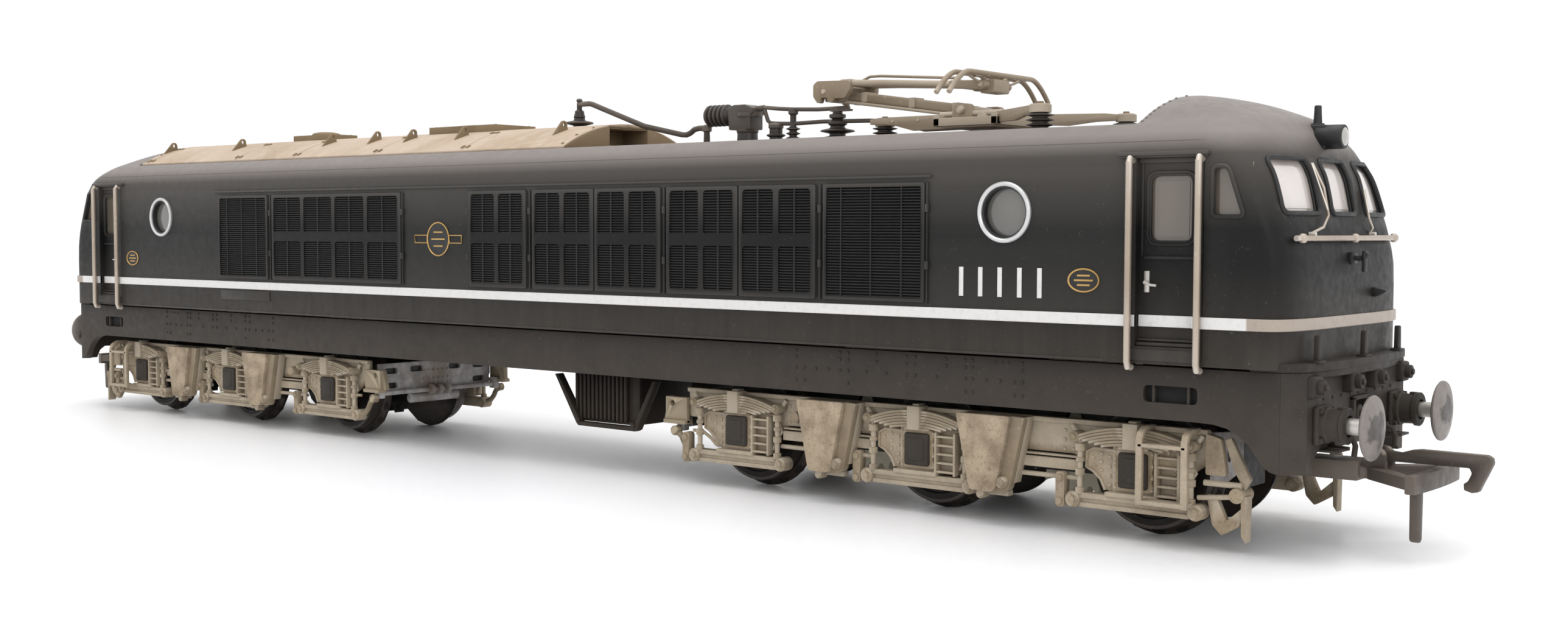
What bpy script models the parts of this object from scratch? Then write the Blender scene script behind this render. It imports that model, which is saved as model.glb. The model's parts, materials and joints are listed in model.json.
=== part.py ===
"""Scale model of a six-axle electric locomotive, 4 mm to the foot (OO gauge).

Frame: X along the locomotive, Z up, origin on the rail plane (flange bottoms) at mid-length.
The helpers take millimetres and build the meshes in metres.
"""
import bpy
import bmesh
import math
from mathutils import Matrix, Vector

# ---------------------------------------------------------------- driving dimensions (mm)
MM = 0.001
GAP = 0.3                # clearance kept between neighbouring pieces

BODY_HALF_WIDTH = 18.1
BODY_BOTTOM = 20.95
DECK_Z = 47.9            # flat roof deck under the removable panel
DOME_X = 106.5           # where the cab domes begin
WALL = 1.2
CAVITY_TOP = 46.6

SKIRT_BOTTOM = 14.7
SKIRT_TOP = 20.65
BEAM_X = 127.0           # buffer beam's front plane

BOGIE_X = 76.5           # bogie pivot from mid-length
AXLE_SPACING = 30.0
AXLE_Z = 8.3
FLANGE_R = 8.3
TREAD_R = 7.35
AXLE_R = 1.0
CENTRE_AXLE_R = 0.6      # slim, to pass under the worm gear
BEARING_R = AXLE_R + GAP
BACK_TO_BACK = 14.4
WHEEL_WIDTH = 2.8
SWIVEL_COLLAR_R = 11.0

GEAR_MODULE = 0.6
WORM_GEAR_TEETH = 24
IDLER_TEETH = 32
AXLE_GEAR_TEETH = 16
GEAR_WIDTH = 2.0
TOOTH_FOOT = 0.36        # half a tooth's width at its foot, as a share of the pitch
ADDENDUM = 0.52
DEDENDUM = 0.85
WORM_PITCH_R = 2.2
WORM_LEAD = math.pi * GEAR_MODULE
WORM_HALF_LENGTH = 4.4

SHAFT_R = 1.0
MOTOR_R = 8.3
MOTOR_HALF_LENGTH = 13.0
FLYWHEEL_R = 7.0
CUP_X = 8.6              # cardan cup's centre, from the bogie pivot towards the motor

BUFFER_Y = 11.4
BUFFER_Z = 14.9
BUFFER_HEAD_R = 3.5
BUFFER_TIP_X = 133.5

COUPLING_X = 119.5       # coupling's vertical pivot
COUPLING_Z = 8.8
HOOK_PIVOT = (129.6, 10.7)

PANTO_BASE_PIVOT = (76.0, 51.4)
PANTO_ELBOW = (52.8, 54.9)
PANTO_HEAD = (78.3, 54.6)

# Two-stage distances that follow from the gears
WORM_GEAR_R = GEAR_MODULE * WORM_GEAR_TEETH / 2
IDLER_R = GEAR_MODULE * IDLER_TEETH / 2
AXLE_GEAR_R = GEAR_MODULE * AXLE_GEAR_TEETH / 2
IDLER_DROP = 3.96        # idler centre above the axles
IDLER_REACH = math.sqrt((IDLER_R + AXLE_GEAR_R) ** 2 - IDLER_DROP ** 2)
IDLER_X = AXLE_SPACING - IDLER_REACH
WORM_GEAR_Z = AXLE_Z + IDLER_DROP + math.sqrt((IDLER_R + WORM_GEAR_R) ** 2 - IDLER_X ** 2)
IDLER_Z = AXLE_Z + IDLER_DROP
WORM_Z = WORM_GEAR_Z + WORM_GEAR_R + WORM_PITCH_R

# ---------------------------------------------------------------- scene and collections
for old in list(bpy.data.objects):
    bpy.data.objects.remove(old, do_unlink=True)

PARTS = bpy.data.collections.new("model_electric_locomotive")
TOOLS = bpy.data.collections.new("cutters")
for collection in (PARTS, TOOLS):
    bpy.context.scene.collection.children.link(collection)


# ---------------------------------------------------------------- shape helpers
def tool_object(mesh):
    """Object for a mesh, kept with the cutters until it is finished."""
    obj = bpy.data.objects.new("shape", mesh)
    TOOLS.objects.link(obj)
    obj.hide_render = True
    obj.display_type = "WIRE"
    return obj


def mesh_object(bm):
    """Turn a bmesh in millimetres into an object in metres."""
    bmesh.ops.scale(bm, vec=(MM, MM, MM), verts=bm.verts)
    mesh = bpy.data.meshes.new("shape")
    bm.to_mesh(mesh)
    bm.free()
    return tool_object(mesh)


def box(low, high):
    """Axis-aligned block between two corners."""
    bm = bmesh.new()
    size = [b - a for a, b in zip(low, high)]
    middle = [(a + b) / 2 for a, b in zip(low, high)]
    place = Matrix.Translation(middle) @ Matrix.Diagonal((*size, 1))
    bmesh.ops.create_cube(bm, size=1, matrix=place)
    return mesh_object(bm)


AXIS_TURN = {
    "X": Matrix.Rotation(math.pi / 2, 4, "Y"),
    "Y": Matrix.Rotation(-math.pi / 2, 4, "X"),
    "Z": Matrix.Identity(4),
}


def rod(centre, axis, length, radius, radius_end=None, sides=16):
    """Cylinder or cone centred on a point, along one axis."""
    bm = bmesh.new()
    end = radius if radius_end is None else radius_end
    place = Matrix.Translation(centre) @ AXIS_TURN[axis]
    bmesh.ops.create_cone(bm, cap_ends=True, segments=sides, radius1=radius, radius2=end,
                          depth=length, matrix=place)
    return mesh_object(bm)


def prism(outline, axis, low, high):
    """Flat outline pushed along an axis; the outline's two values are the other two axes in order."""
    bm = bmesh.new()
    spot = {"X": lambda a, b: (low, a, b), "Y": lambda a, b: (a, low, b), "Z": lambda a, b: (a, b, low)}
    face = bm.faces.new([bm.verts.new(spot[axis](a, b)) for a, b in outline])
    grown = bmesh.ops.extrude_face_region(bm, geom=[face])
    far_end = [item for item in grown["geom"] if isinstance(item, bmesh.types.BMVert)]
    push = Vector([high - low if letter == axis else 0 for letter in "XYZ"])
    bmesh.ops.translate(bm, vec=push, verts=far_end)
    bmesh.ops.recalc_face_normals(bm, faces=bm.faces)
    return mesh_object(bm)


def turned(profile, centre, axis, steps=24):
    """Lathe work: (radius, height) points run down the outer side; the height is along the axis."""
    bm = bmesh.new()
    points = [bm.verts.new((r, 0, h)) for r, h in profile]
    closed = profile[0][0] > 0
    pairs = list(zip(points, points[1:] + points[:1])) if closed else list(zip(points, points[1:]))
    for a, b in pairs:
        bm.edges.new((a, b))
    obj = mesh_object(bm)
    obj.matrix_world = Matrix.Translation(Vector(centre) * MM) @ AXIS_TURN[axis]
    screw = obj.modifiers.new("turn", "SCREW")
    screw.steps = steps
    screw.render_steps = steps
    screw.use_merge_vertices = True
    screw.merge_threshold = 0.00001
    screw.use_normal_calculate = False
    return obj


def wire(points, radius):
    """Round wire through the points, as a mesh with welded caps."""
    curve = bpy.data.curves.new("wire", "CURVE")
    curve.dimensions = "3D"
    curve.bevel_depth = radius * MM
    curve.bevel_resolution = 2
    curve.use_fill_caps = True
    spline = curve.splines.new("POLY")
    spline.points.add(len(points) - 1)
    for spot, point in zip(spline.points, points):
        spot.co = (*(Vector(point) * MM), 1)
    guide = bpy.data.objects.new("wire", curve)
    TOOLS.objects.link(guide)
    shaped = guide.evaluated_get(bpy.context.evaluated_depsgraph_get())
    mesh = bpy.data.meshes.new_from_object(shaped)
    bpy.data.objects.remove(guide, do_unlink=True)
    bm = bmesh.new()
    bm.from_mesh(mesh)
    bmesh.ops.remove_doubles(bm, verts=bm.verts, dist=0.000001)
    bmesh.ops.recalc_face_normals(bm, faces=bm.faces)
    bm.to_mesh(mesh)
    bm.free()
    return tool_object(mesh)


def combine(base, operation, others):
    """Stack Boolean modifiers on the base, one for each other shape."""
    for other in others:
        step = base.modifiers.new(operation.lower(), "BOOLEAN")
        step.operation = operation
        step.solver = "EXACT"
        step.object = other
    return base


def join(base, *others):
    return combine(base, "UNION", others)


def cut(base, *others):
    return combine(base, "DIFFERENCE", others)


def keep(obj, name, colour, roughness=0.6, metallic=0.0, parent=None):
    """Name a finished sub-part, give it its material and file it with the parts."""
    obj.name = name
    obj.data.name = name
    material = bpy.data.materials.new(name)
    material.use_nodes = True
    shader = material.node_tree.nodes["Principled BSDF"]
    shader.inputs["Base Color"].default_value = (*colour, 1)
    shader.inputs["Roughness"].default_value = roughness
    shader.inputs["Metallic"].default_value = metallic
    obj.data.materials.clear()
    obj.data.materials.append(material)
    obj.data.shade_smooth()
    obj.data.set_sharp_from_angle(angle=math.radians(35))
    TOOLS.objects.unlink(obj)
    PARTS.objects.link(obj)
    obj.hide_render = False
    obj.display_type = "TEXTURED"
    if parent:
        obj.parent = parent
        obj.matrix_parent_inverse = parent.matrix_world.inverted()
    return obj


def pivot(name, spot, parent=None):
    """Empty on a joint's axis; the moving pieces hang from it."""
    empty = bpy.data.objects.new(name, None)
    empty.empty_display_size = 0.005
    empty.matrix_world = Matrix.Translation(Vector(spot) * MM)
    TOOLS.objects.link(empty)
    if parent:
        empty.parent = parent
        empty.matrix_parent_inverse = parent.matrix_world.inverted()
        bpy.context.view_layer.update()
    return empty


# ---------------------------------------------------------------- colours
CHARCOAL = (0.045, 0.042, 0.040)
ROOF_CREAM = (0.62, 0.54, 0.43)
BLACK = (0.02, 0.02, 0.02)
DIE_CAST = (0.20, 0.20, 0.21)
KHAKI = (0.30, 0.25, 0.19)
STEEL = (0.62, 0.60, 0.57)
WHEEL_BROWN = (0.07, 0.055, 0.045)
GEAR_WHITE = (0.80, 0.78, 0.70)
BRASS = (0.72, 0.52, 0.22)
PORCELAIN = (0.13, 0.10, 0.09)
PANTO_TAN = (0.42, 0.35, 0.27)
GLASS = (0.55, 0.56, 0.54)


# ---------------------------------------------------------------- body shell
# Height, half width, nose reach, where the nose's curve leaves the straight side
BODY_LEVELS = [
    (BODY_BOTTOM, 18.1, 126.2, 121.6),
    (32.5, 18.1, 126.1, 121.5),
    (41.8, 18.1, 124.4, 118.0),
    (44.2, 17.9, 123.8, 116.2),
    (46.5, 16.5, 122.6, 113.2),
    (48.2, 13.9, 121.1, 110.0),
    (49.8, 10.3, 117.6, 107.4),
    (51.1, 6.2, 112.7, 106.9),
    (51.9, 1.6, 108.2, 106.7),
]
NOSE_STEPS = 5


def plan_ring(half_width, reach, corner, power):
    """Plan outline with two rounded noses, as a list of (x, y) running once round."""
    quarter = []
    for step in range(NOSE_STEPS + 1):
        angle = math.pi / 2 * step / NOSE_STEPS
        x = corner + (reach - corner) * math.sin(angle) ** (2 / power)
        y = half_width * math.cos(angle) ** (2 / power)
        quarter.append((x, y))
    half = quarter + [(x, -y) for x, y in reversed(quarter[:-1])]
    return half + [(-x, -y) for x, y in half]


def level_at(z):
    """Body level at any height, blended between the listed ones."""
    if z <= BODY_LEVELS[0][0]:
        return (z, *BODY_LEVELS[0][1:])
    for lower, upper in zip(BODY_LEVELS, BODY_LEVELS[1:]):
        if z <= upper[0]:
            share = (z - lower[0]) / (upper[0] - lower[0])
            return (z, *(a + (b - a) * share for a, b in zip(lower[1:], upper[1:])))
    return BODY_LEVELS[-1]


def body_solid(inset, bottom, top):
    """Loft of plan outlines, shrunk by an inset on every side."""
    between = [level for level in BODY_LEVELS if bottom + 0.5 < level[0] < top - 0.5]
    rows = [level_at(bottom)] + between + [level_at(top)]
    bm = bmesh.new()
    rings = []
    for z, half_width, reach, corner in rows:
        power = 4.0 if z < 42 else 3.0 if z < 47 else 2.4
        outline = plan_ring(half_width - inset, reach - inset, corner - inset, power)
        rings.append([bm.verts.new((x, y, z)) for x, y in outline])
    for lower, upper in zip(rings, rings[1:]):
        count = len(lower)
        for i in range(count):
            j = (i + 1) % count
            bm.faces.new((lower[i], lower[j], upper[j], upper[i]))
    bm.faces.new(rings[0])
    bm.faces.new(rings[-1])
    bmesh.ops.recalc_face_normals(bm, faces=bm.faces)
    bmesh.ops.triangulate(bm, faces=bm.faces)
    return mesh_object(bm)


def mirrored_boxes(low, high):
    """The same block at each end and side of the locomotive."""
    blocks = []
    for end in (1, -1):
        for side in (1, -1):
            xs = sorted((low[0] * end, high[0] * end))
            ys = sorted((low[1] * side, high[1] * side))
            blocks.append(box((xs[0], ys[0], low[2]), (xs[1], ys[1], high[2])))
    return blocks


WINDSCREEN = (37.6, 43.7)
SIDE_SCREEN_Y = (6.9, 15.2)
CENTRE_SCREEN_Y = 3.6
DOOR_WINDOW = ((109.6, 34.6), (114.5, 41.8))
PORTHOLES = (91.2, -92.6)
PORTHOLE_Z = 37.9
PORTHOLE_R = 3.2


def make_body():
    shell = body_solid(0, BODY_BOTTOM, 60)
    cavity = body_solid(WALL, BODY_BOTTOM - 1, CAVITY_TOP)
    above_deck = box((-DOME_X, -20, DECK_Z), (DOME_X, 20, 60))
    quarter_window = [(117.2, 37.4), (120.7, 37.4), (118.8, 42.6), (117.2, 42.6)]
    openings = []
    for end in (1, -1):
        nose = sorted((end * 117, end * 130))
        openings.append(box((nose[0], -CENTRE_SCREEN_Y, WINDSCREEN[0]),
                            (nose[1], CENTRE_SCREEN_Y, WINDSCREEN[1])))
        flipped = [(end * x, z) for x, z in quarter_window]
        openings.append(prism(flipped, "Y", -22, 22))
        doors = sorted((end * DOOR_WINDOW[0][0], end * DOOR_WINDOW[1][0]))
        openings.append(box((doors[0], -22, DOOR_WINDOW[0][1]), (doors[1], 22, DOOR_WINDOW[1][1])))
    openings += mirrored_boxes((121.4, SIDE_SCREEN_Y[0], WINDSCREEN[0]),
                               (130, SIDE_SCREEN_Y[1], WINDSCREEN[1]))
    for x in PORTHOLES:
        openings.append(rod((x, 0, PORTHOLE_Z), "Y", 44, PORTHOLE_R, sides=20))
    cut(shell, cavity, above_deck, *openings)
    return keep(shell, "body_shell", CHARCOAL, 0.5)


def make_cab_glazing(end, name):
    """Clear liner behind the windscreens and side windows of one cab."""
    liner = body_solid(WALL + GAP, 34.0, 44.2)
    hollow = body_solid(WALL + GAP + 0.9, 30.0, 49.0)
    beyond = sorted((end * 108.6, -end * 200))
    rest = box((beyond[0], -30, 20), (beyond[1], 30, 60))
    cut(liner, hollow, rest)
    return keep(liner, name, GLASS, 0.1)


def arch(z_shift=0.0, width_shift=0.0):
    """Roof arch above the deck as (y, z) points from one eave to the other."""
    half = [(14.0, 48.3), (12.9, 49.1), (10.3, 50.2), (7.3, 51.1), (4.3, 51.8), (1.6, 52.15)]
    right = [(y - width_shift, z + z_shift) for y, z in half]
    return right + [(-y, z) for y, z in reversed(right)]


def make_roof_panel():
    outer = arch()
    inner = [(y, z) for y, z in arch(-1.0, 1.0)]
    foot = DECK_Z + GAP
    outline = [(14.0, foot)] + outer + [(-14.0, foot), (-13.0, foot)] + inner[::-1][1:-1] + [(13.0, foot)]
    panel = prism(outline, "X", -DOME_X + GAP, 11.6)
    return keep(panel, "roof_panel", ROOF_CREAM, 0.7)


# ---------------------------------------------------------------- underframe
FOOTPLATE_Z = (20.0, 21.7)
FOOTPLATE_X = (126.75, 128.3)


def make_solebar():
    """Skirt all round with its buffer beams, end footplates and lamp posts."""
    half = BODY_HALF_WIDTH
    corner = 2.1
    front = BEAM_X
    outer = [(front - corner, half), (front, half - corner), (front, corner - half), (front - corner, -half)]
    outline = outer + [(-x, -y) for x, y in outer]
    frame = prism(outline, "Z", 9.7, SKIRT_TOP)
    hole = box((-front + 1.6, -half + WALL, 0), (front - 1.6, half - WALL, 30))
    side_cut = [(-124.8, 5), (-124.8, 9.7), (-123.3, 10.6), (-121.0, 13.6), (-118.5, 14.6), (-116.5, SKIRT_BOTTOM)]
    side_cut = side_cut + [(-x, z) for x, z in reversed(side_cut)]
    below = prism(side_cut, "Y", -30, 30)
    between = box((-front - 5, -13.2, 5), (front + 5, 13.2, 12.0))
    slots = mirrored_boxes((108.9, 15, 16.6), (115.4, 22, 18.5))
    cut(frame, hole, below, between, *slots)
    for end in (1, -1):
        shelf = [(FOOTPLATE_X[0], -15.6)]
        for step in range(7):
            across = -15.6 + step * 31.2 / 6
            shelf.append((FOOTPLATE_X[1] - 0.9 * (across / 15.6) ** 2, across))
        shelf.append((FOOTPLATE_X[0], 15.6))
        join(frame, prism([(end * x, y) for x, y in shelf], "Z", *FOOTPLATE_Z))
        for y in (-12.4, 0, 12.4):
            join(frame, rod((end * 127.5, y, 22.6), "Z", 3.4, 0.62, 0.4, sides=8))
    return keep(frame, "solebar_frame", CHARCOAL, 0.6)


def make_chassis():
    """Die-cast frame: plates over the bogies, a motor cradle and the coupling posts."""
    plate_z = (17.3, 19.3)
    frame = box((-33, -9, 14.95), (33, 9, 17.4))
    for end in (1, -1):
        near, far = sorted((end * 30, end * 121))
        join(frame, box((near, -16.2, plate_z[0]), (far, 16.2, plate_z[1])))
    for end in (1, -1):
        pocket_low, pocket_high = sorted((end * 117.0, end * 120.9))
        join(frame, box((pocket_low, -2.0, 10.1), (pocket_high, 2.0, 18.0)))
        join(frame, rod((end * COUPLING_X, 0, 9.0), "Z", 3.4, 0.8, sides=12))
        for side in (1, -1):
            join(frame, rod((end * 34.5, side * 8.5, 28.3), "Z", 19.0, 1.2, sides=8))
    for end in (1, -1):
        centre = end * BOGIE_X
        slot = box((centre - 27.6, -6.6, 12), (centre + 27.6, 6.6, 24))
        ring = rod((centre, 0, 18), "Z", 6, SWIVEL_COLLAR_R + GAP, sides=32)
        cut(frame, slot, ring)
    return keep(frame, "chassis_frame", DIE_CAST, 0.5, 0.6)


def make_circuit_board():
    return keep(box((-44, -10.5, 38.1), (44, 10.5, 39.2)), "circuit_board", (0.03, 0.16, 0.07), 0.4)


def make_equipment_box(side, depth, name):
    """Ribbed box with a hoop strap, hung below the skirt on one side."""
    def span(near, far):
        return sorted((side * near, side * far))
    inner = 14.0 - depth
    body_y = span(inner, 13.6)
    body = box((15.0, body_y[0], 7.1), (26.5, body_y[1], 14.65))
    strap = [(9.7, 13.9), (14.7, 6.5), (27.0, 6.5), (31.0, 13.9), (29.9, 13.9), (26.5, 7.3), (15.3, 7.3),
             (10.8, 13.9)]
    join(body, prism(strap, "Y", *span(12.9, 14.3)))
    ribs = 7
    for i in range(ribs):
        x = 15.5 + i * 1.5
        join(body, box((x, span(13.3, 14.05)[0], 7.6), (x + 0.7, span(13.3, 14.05)[1], 14.2)))
    return keep(body, name, BLACK, 0.6)


# ---------------------------------------------------------------- drive
def gear(teeth, centre):
    """Spur gear with pointed teeth, the first one towards +X."""
    pitch_r = GEAR_MODULE * teeth / 2
    pitch_angle = 2 * math.pi / teeth
    tooth = ((pitch_r - DEDENDUM, -TOOTH_FOOT), (pitch_r + ADDENDUM, 0), (pitch_r - DEDENDUM, TOOTH_FOOT))
    outline = []
    for i in range(teeth):
        for radius, share in tooth:
            angle = (i + share) * pitch_angle
            outline.append((radius * math.cos(angle), radius * math.sin(angle)))
    wheel = prism(outline, "Y", -GEAR_WIDTH / 2, GEAR_WIDTH / 2)
    wheel.location = Vector(centre) * MM
    return wheel


THREAD_PHASE = math.pi   # puts a gap of the thread over the worm gear's top tooth


def worm(centre):
    """Single-start right-hand worm: a tube of rings whose radius follows the thread's wave."""
    sides = 10
    rings_per_turn = 6
    length_half = WORM_HALF_LENGTH
    rings = round(2 * length_half / WORM_LEAD * rings_per_turn)
    crest = WORM_PITCH_R + ADDENDUM
    root = WORM_PITCH_R - DEDENDUM
    bm = bmesh.new()
    rows = []
    for i in range(rings + 1):
        x = -length_half + 2 * length_half * i / rings
        row = []
        for j in range(sides):
            around = 2 * math.pi * j / sides
            phase = 2 * math.pi * x / WORM_LEAD - around + THREAD_PHASE
            ridge = max(0.0, math.cos(phase)) ** 1.5
            radius = root + (crest - root) * ridge
            row.append(bm.verts.new((x, radius * math.sin(around), -radius * math.cos(around))))
        rows.append(row)
    for first, second in zip(rows, rows[1:]):
        for j in range(sides):
            k = (j + 1) % sides
            bm.faces.new((first[j], first[k], second[k], second[j]))
    bm.faces.new(rows[0])
    bm.faces.new(rows[-1])
    bmesh.ops.recalc_face_normals(bm, faces=bm.faces)
    obj = mesh_object(bm)
    obj.location = Vector(centre) * MM
    return obj


def wheelset_profile(axle_r):
    """Profile of both wheels on their axle, from the left end to the right end."""
    inner = BACK_TO_BACK / 2
    outer = inner + WHEEL_WIDTH
    right = [
        (0, 11.6), (AXLE_R, 11.6), (AXLE_R, outer), (TREAD_R, outer), (TREAD_R + 0.1, inner + 1.0),
        (FLANGE_R, inner + 0.6), (FLANGE_R, inner), (axle_r, inner),
    ]
    return right + [(r, -h) for r, h in reversed(right)]


def make_wheelset(name, x, turn, parent):
    """Wheelset; a driven one carries its gear, turned to mesh at rest."""
    driven = turn is not None
    axle_r = AXLE_R if driven else CENTRE_AXLE_R
    axle = turned(wheelset_profile(axle_r), (x, 0, AXLE_Z), "Y", 16)
    if driven:
        toothed = gear(AXLE_GEAR_TEETH, (x, 0, AXLE_Z))
        toothed.rotation_euler = (0, turn, 0)
        join(axle, toothed)
    pin = pivot(name + "_axis", (x, 0, AXLE_Z), parent)
    return keep(axle, name, WHEEL_BROWN, 0.5, 0.4, pin)


def make_gear(name, teeth, centre, turn, parent):
    wheel = gear(teeth, centre)
    wheel.rotation_euler = (0, turn, 0)
    join(wheel, rod(centre, "Y", 6.4, SHAFT_R, sides=8))
    pin = pivot(name + "_axis", centre, parent)
    return keep(wheel, name, GEAR_WHITE, 0.5, 0.0, pin)


def make_worm(name, centre_x, inward, parent):
    """Worm, its shaft and the cardan cup on the side towards the motor."""
    centre = (centre_x, 0, WORM_Z)
    body = worm(centre)
    shaft_out = centre_x - inward * 7.4
    shaft_in = centre_x + inward * 7.6
    low, high = sorted((shaft_out, shaft_in))
    join(body, rod(((low + high) / 2, 0, WORM_Z), "X", high - low, SHAFT_R, sides=8))
    cup_half = 1.5
    inner, outer = 2.9, 3.5
    base = 0.5
    if inward > 0:
        profile = [(0, -cup_half + base), (inner, -cup_half + base), (inner, cup_half), (outer, cup_half),
                   (outer, -cup_half), (0, -cup_half)]
    else:
        profile = [(0, cup_half), (outer, cup_half), (outer, -cup_half), (inner, -cup_half),
                   (inner, cup_half - base), (0, cup_half - base)]
    cup = turned(profile, (centre_x + inward * CUP_X, 0, WORM_Z), "X", 12)
    join(body, cup)
    pin = pivot(name + "_axis", centre, parent)
    return keep(body, name, BRASS, 0.35, 0.9, pin)


def make_rotor():
    """Motor shaft with its armature, and the two flywheels pressed on it."""
    shaft_half = 23.0
    armature = [(0, shaft_half), (SHAFT_R, shaft_half), (SHAFT_R, 10.5), (5.2, 10.0), (5.2, -7.0),
                (2.8, -7.2), (2.8, -10.4), (SHAFT_R, -10.5), (SHAFT_R, -shaft_half), (0, -shaft_half)]
    axis = pivot("rotor_axis", (0, 0, WORM_Z))
    keep(turned(armature, (0, 0, WORM_Z), "X", 12), "motor_armature", (0.45, 0.22, 0.12), 0.4, 0.7, axis)
    for end, name in ((1, "front_flywheel"), (-1, "rear_flywheel")):
        inner, bore, cup_r = 15.0, SHAFT_R + GAP, 2.4
        face, depth = 25.6, 3.0
        outline = [(bore, inner), (bore, face - depth), (cup_r, face - depth), (cup_r, face),
                   (FLYWHEEL_R, face), (FLYWHEEL_R, inner)]
        profile = outline if end > 0 else [(r, -h) for r, h in reversed(outline)]
        wheel = turned(profile, (0, 0, WORM_Z), "X", 18)
        keep(wheel, name, BRASS, 0.3, 0.9, axis)


def make_motor():
    half, wall, bore = MOTOR_HALF_LENGTH, 1.3, SHAFT_R + GAP
    profile = [(bore, half), (MOTOR_R - 0.8, half), (MOTOR_R, half - 0.8), (MOTOR_R, -half + 0.8),
               (MOTOR_R - 0.8, -half), (bore, -half), (bore, -half + wall),
               (MOTOR_R - wall, -half + wall), (MOTOR_R - wall, half - wall), (bore, half - wall)]
    return keep(turned(profile, (0, 0, WORM_Z), "X", 18), "motor_housing", (0.35, 0.36, 0.38), 0.35, 0.8)


def make_cardan(name, end):
    """Drive shaft with a ball at each end, loose in the flywheel's and the worm's cups."""
    near = 24.3
    far = BOGIE_X - CUP_X
    ball, shaft = 1.0, 0.75
    half = (far - near) / 2 + ball * 0.4
    profile = [(0, half), (ball * 0.8, half - 0.35), (ball, half - ball), (ball * 0.8, half - 1.6),
               (shaft, half - 1.9)]
    profile = profile + [(r, -h) for r, h in reversed(profile)]
    centre = (end * (near + far) / 2, 0, WORM_Z)
    axis = pivot(name + "_axis", centre)
    return keep(turned(profile, centre, "X", 8), name, BLACK, 0.5, 0.0, axis)


# ---------------------------------------------------------------- bogies
def make_bogie_frame(name, cx, inward, parent):
    """Gear tower, central bar, cross arms and end plate of one bogie, slotted for its gears."""
    def bx(x0, x1, y, z0, z1):
        low, high = sorted((x0, x1))
        return box((cx + low, -y, z0), (cx + high, y, z1))
    bar = bx(-38.2, 38.2, 3.4, 5.6, 13.4)
    adds = [
        bx(-8.0, 8.0, 3.35, 12.0, 22.4),
        rod((cx, 0, 18.35), "Z", 1.9, SWIVEL_COLLAR_R, sides=24),
        bx(-6.7, -5.3, 3.3, 22.0, 28.6), bx(5.3, 6.7, 3.3, 22.0, 28.6),
        bx(-17.6, -12.4, 12.2, 9.2, 12.4), bx(12.4, 17.6, 12.2, 9.2, 12.4),
        bx(inward * 37.5, inward * 40.4, 3.3, 8.0, 12.8),
        bx(inward * 38.9, inward * 40.4, 12.1, 8.0, 12.8),
    ]
    join(bar, *adds)
    slot = bx(-36.3, 36.3, 1.4, 0, 24.9)
    holes = [rod((cx + i * AXLE_SPACING, 0, AXLE_Z), "Y", 12, BEARING_R, sides=10) for i in (-1, 0, 1)]
    for x in (-IDLER_X, IDLER_X):
        holes.append(rod((cx + x, 0, IDLER_Z), "Y", 12, BEARING_R, sides=10))
    holes.append(rod((cx, 0, WORM_GEAR_Z), "Y", 12, BEARING_R, sides=10))
    holes.append(rod((cx, 0, WORM_Z), "X", 20, BEARING_R, sides=10))
    cut(bar, slot, *holes)
    return keep(bar, name, BLACK, 0.6, 0.0, parent)


def make_sideframe(name, cx, inward, side, parent):
    """Moulded bogie side: beam, springs, axleboxes, swing links, hangers and the cab step."""
    def plate(points, y0, y1):
        y_low, y_high = sorted((side * y0, side * y1))
        return prism([(cx + x, z) for x, z in points], "Y", y_low, y_high)
    beam_side = [(-38.0, 10.2), (38.0, 10.2), (38.0, 12.4), (33.0, 13.4), (-33.0, 13.4), (-38.0, 12.4)]
    beam = plate(beam_side, 12.5, 14.2)
    for axle in (-AXLE_SPACING, 0, AXLE_SPACING):
        spring = [(-7.6, 11.0), (7.6, 11.0), (7.6, 12.0), (0, 12.9), (-7.6, 12.0)]
        join(beam, plate([(axle + x, z) for x, z in spring], 13.6, 15.4))
        axlebox = [(axle - 4.2, 5.7), (axle + 4.2, 5.7), (axle + 4.2, 11.4), (axle - 4.2, 11.4)]
        join(beam, plate(axlebox, 12.7, 14.8))
        for reach in (-7.0, 7.0):
            hanger = [(axle + reach - 0.6, 4.4), (axle + reach + 0.6, 4.4), (axle + reach + 0.6, 11.3),
                      (axle + reach - 0.6, 11.3)]
            join(beam, plate(hanger, 13.4, 14.7))
        lower = [(axle - 8.0, 3.6), (axle + 8.0, 3.6), (axle + 8.0, 5.2), (axle - 8.0, 5.2)]
        join(beam, plate(lower, 12.9, 14.4))
    for link in (-13.6, 11.4):
        top, bottom, height = 4.45, 2.4, 13.6
        shape = [(link - bottom, 4.4), (link + bottom, 4.4), (link + top, height), (link - top, height)]
        join(beam, plate(shape, 13.8, 16.6))
    outer = -inward
    step_x = sorted((outer * 31.6, outer * 38.0))
    hoop_out = [(step_x[0], 5.1), (step_x[1], 5.1), (step_x[1], 13.6), (step_x[0], 13.6)]
    hoop_in = [(step_x[0] + 0.8, 5.9), (step_x[1] - 0.8, 5.9), (step_x[1] - 0.8, 11.4), (step_x[0] + 0.8, 11.4)]
    arm = [(outer * 33.2, 11.6), (outer * 36.6, 11.6), (outer * 36.6, 13.0), (outer * 33.2, 13.0)]
    join(beam, plate(hoop_out, 15.3, 17.4), plate(arm, 13.9, 15.6))
    cut(beam, plate(hoop_in, 14.9, 18.0))
    bracket = [(inward * 37.0, 8.4), (inward * 43.9, 8.4), (inward * 43.0, 12.1), (inward * 37.0, 12.1)]
    join(beam, plate(bracket, 12.7, 14.5))
    return keep(beam, name, KHAKI, 0.7, 0.0, parent)


def gear_phase(teeth, towards, gap):
    """Turn that puts a tooth (or a gap) on the direction given as an angle from +X towards -Z."""
    pitch = 2 * math.pi / teeth
    return towards + (pitch / 2 if gap else 0)


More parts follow.
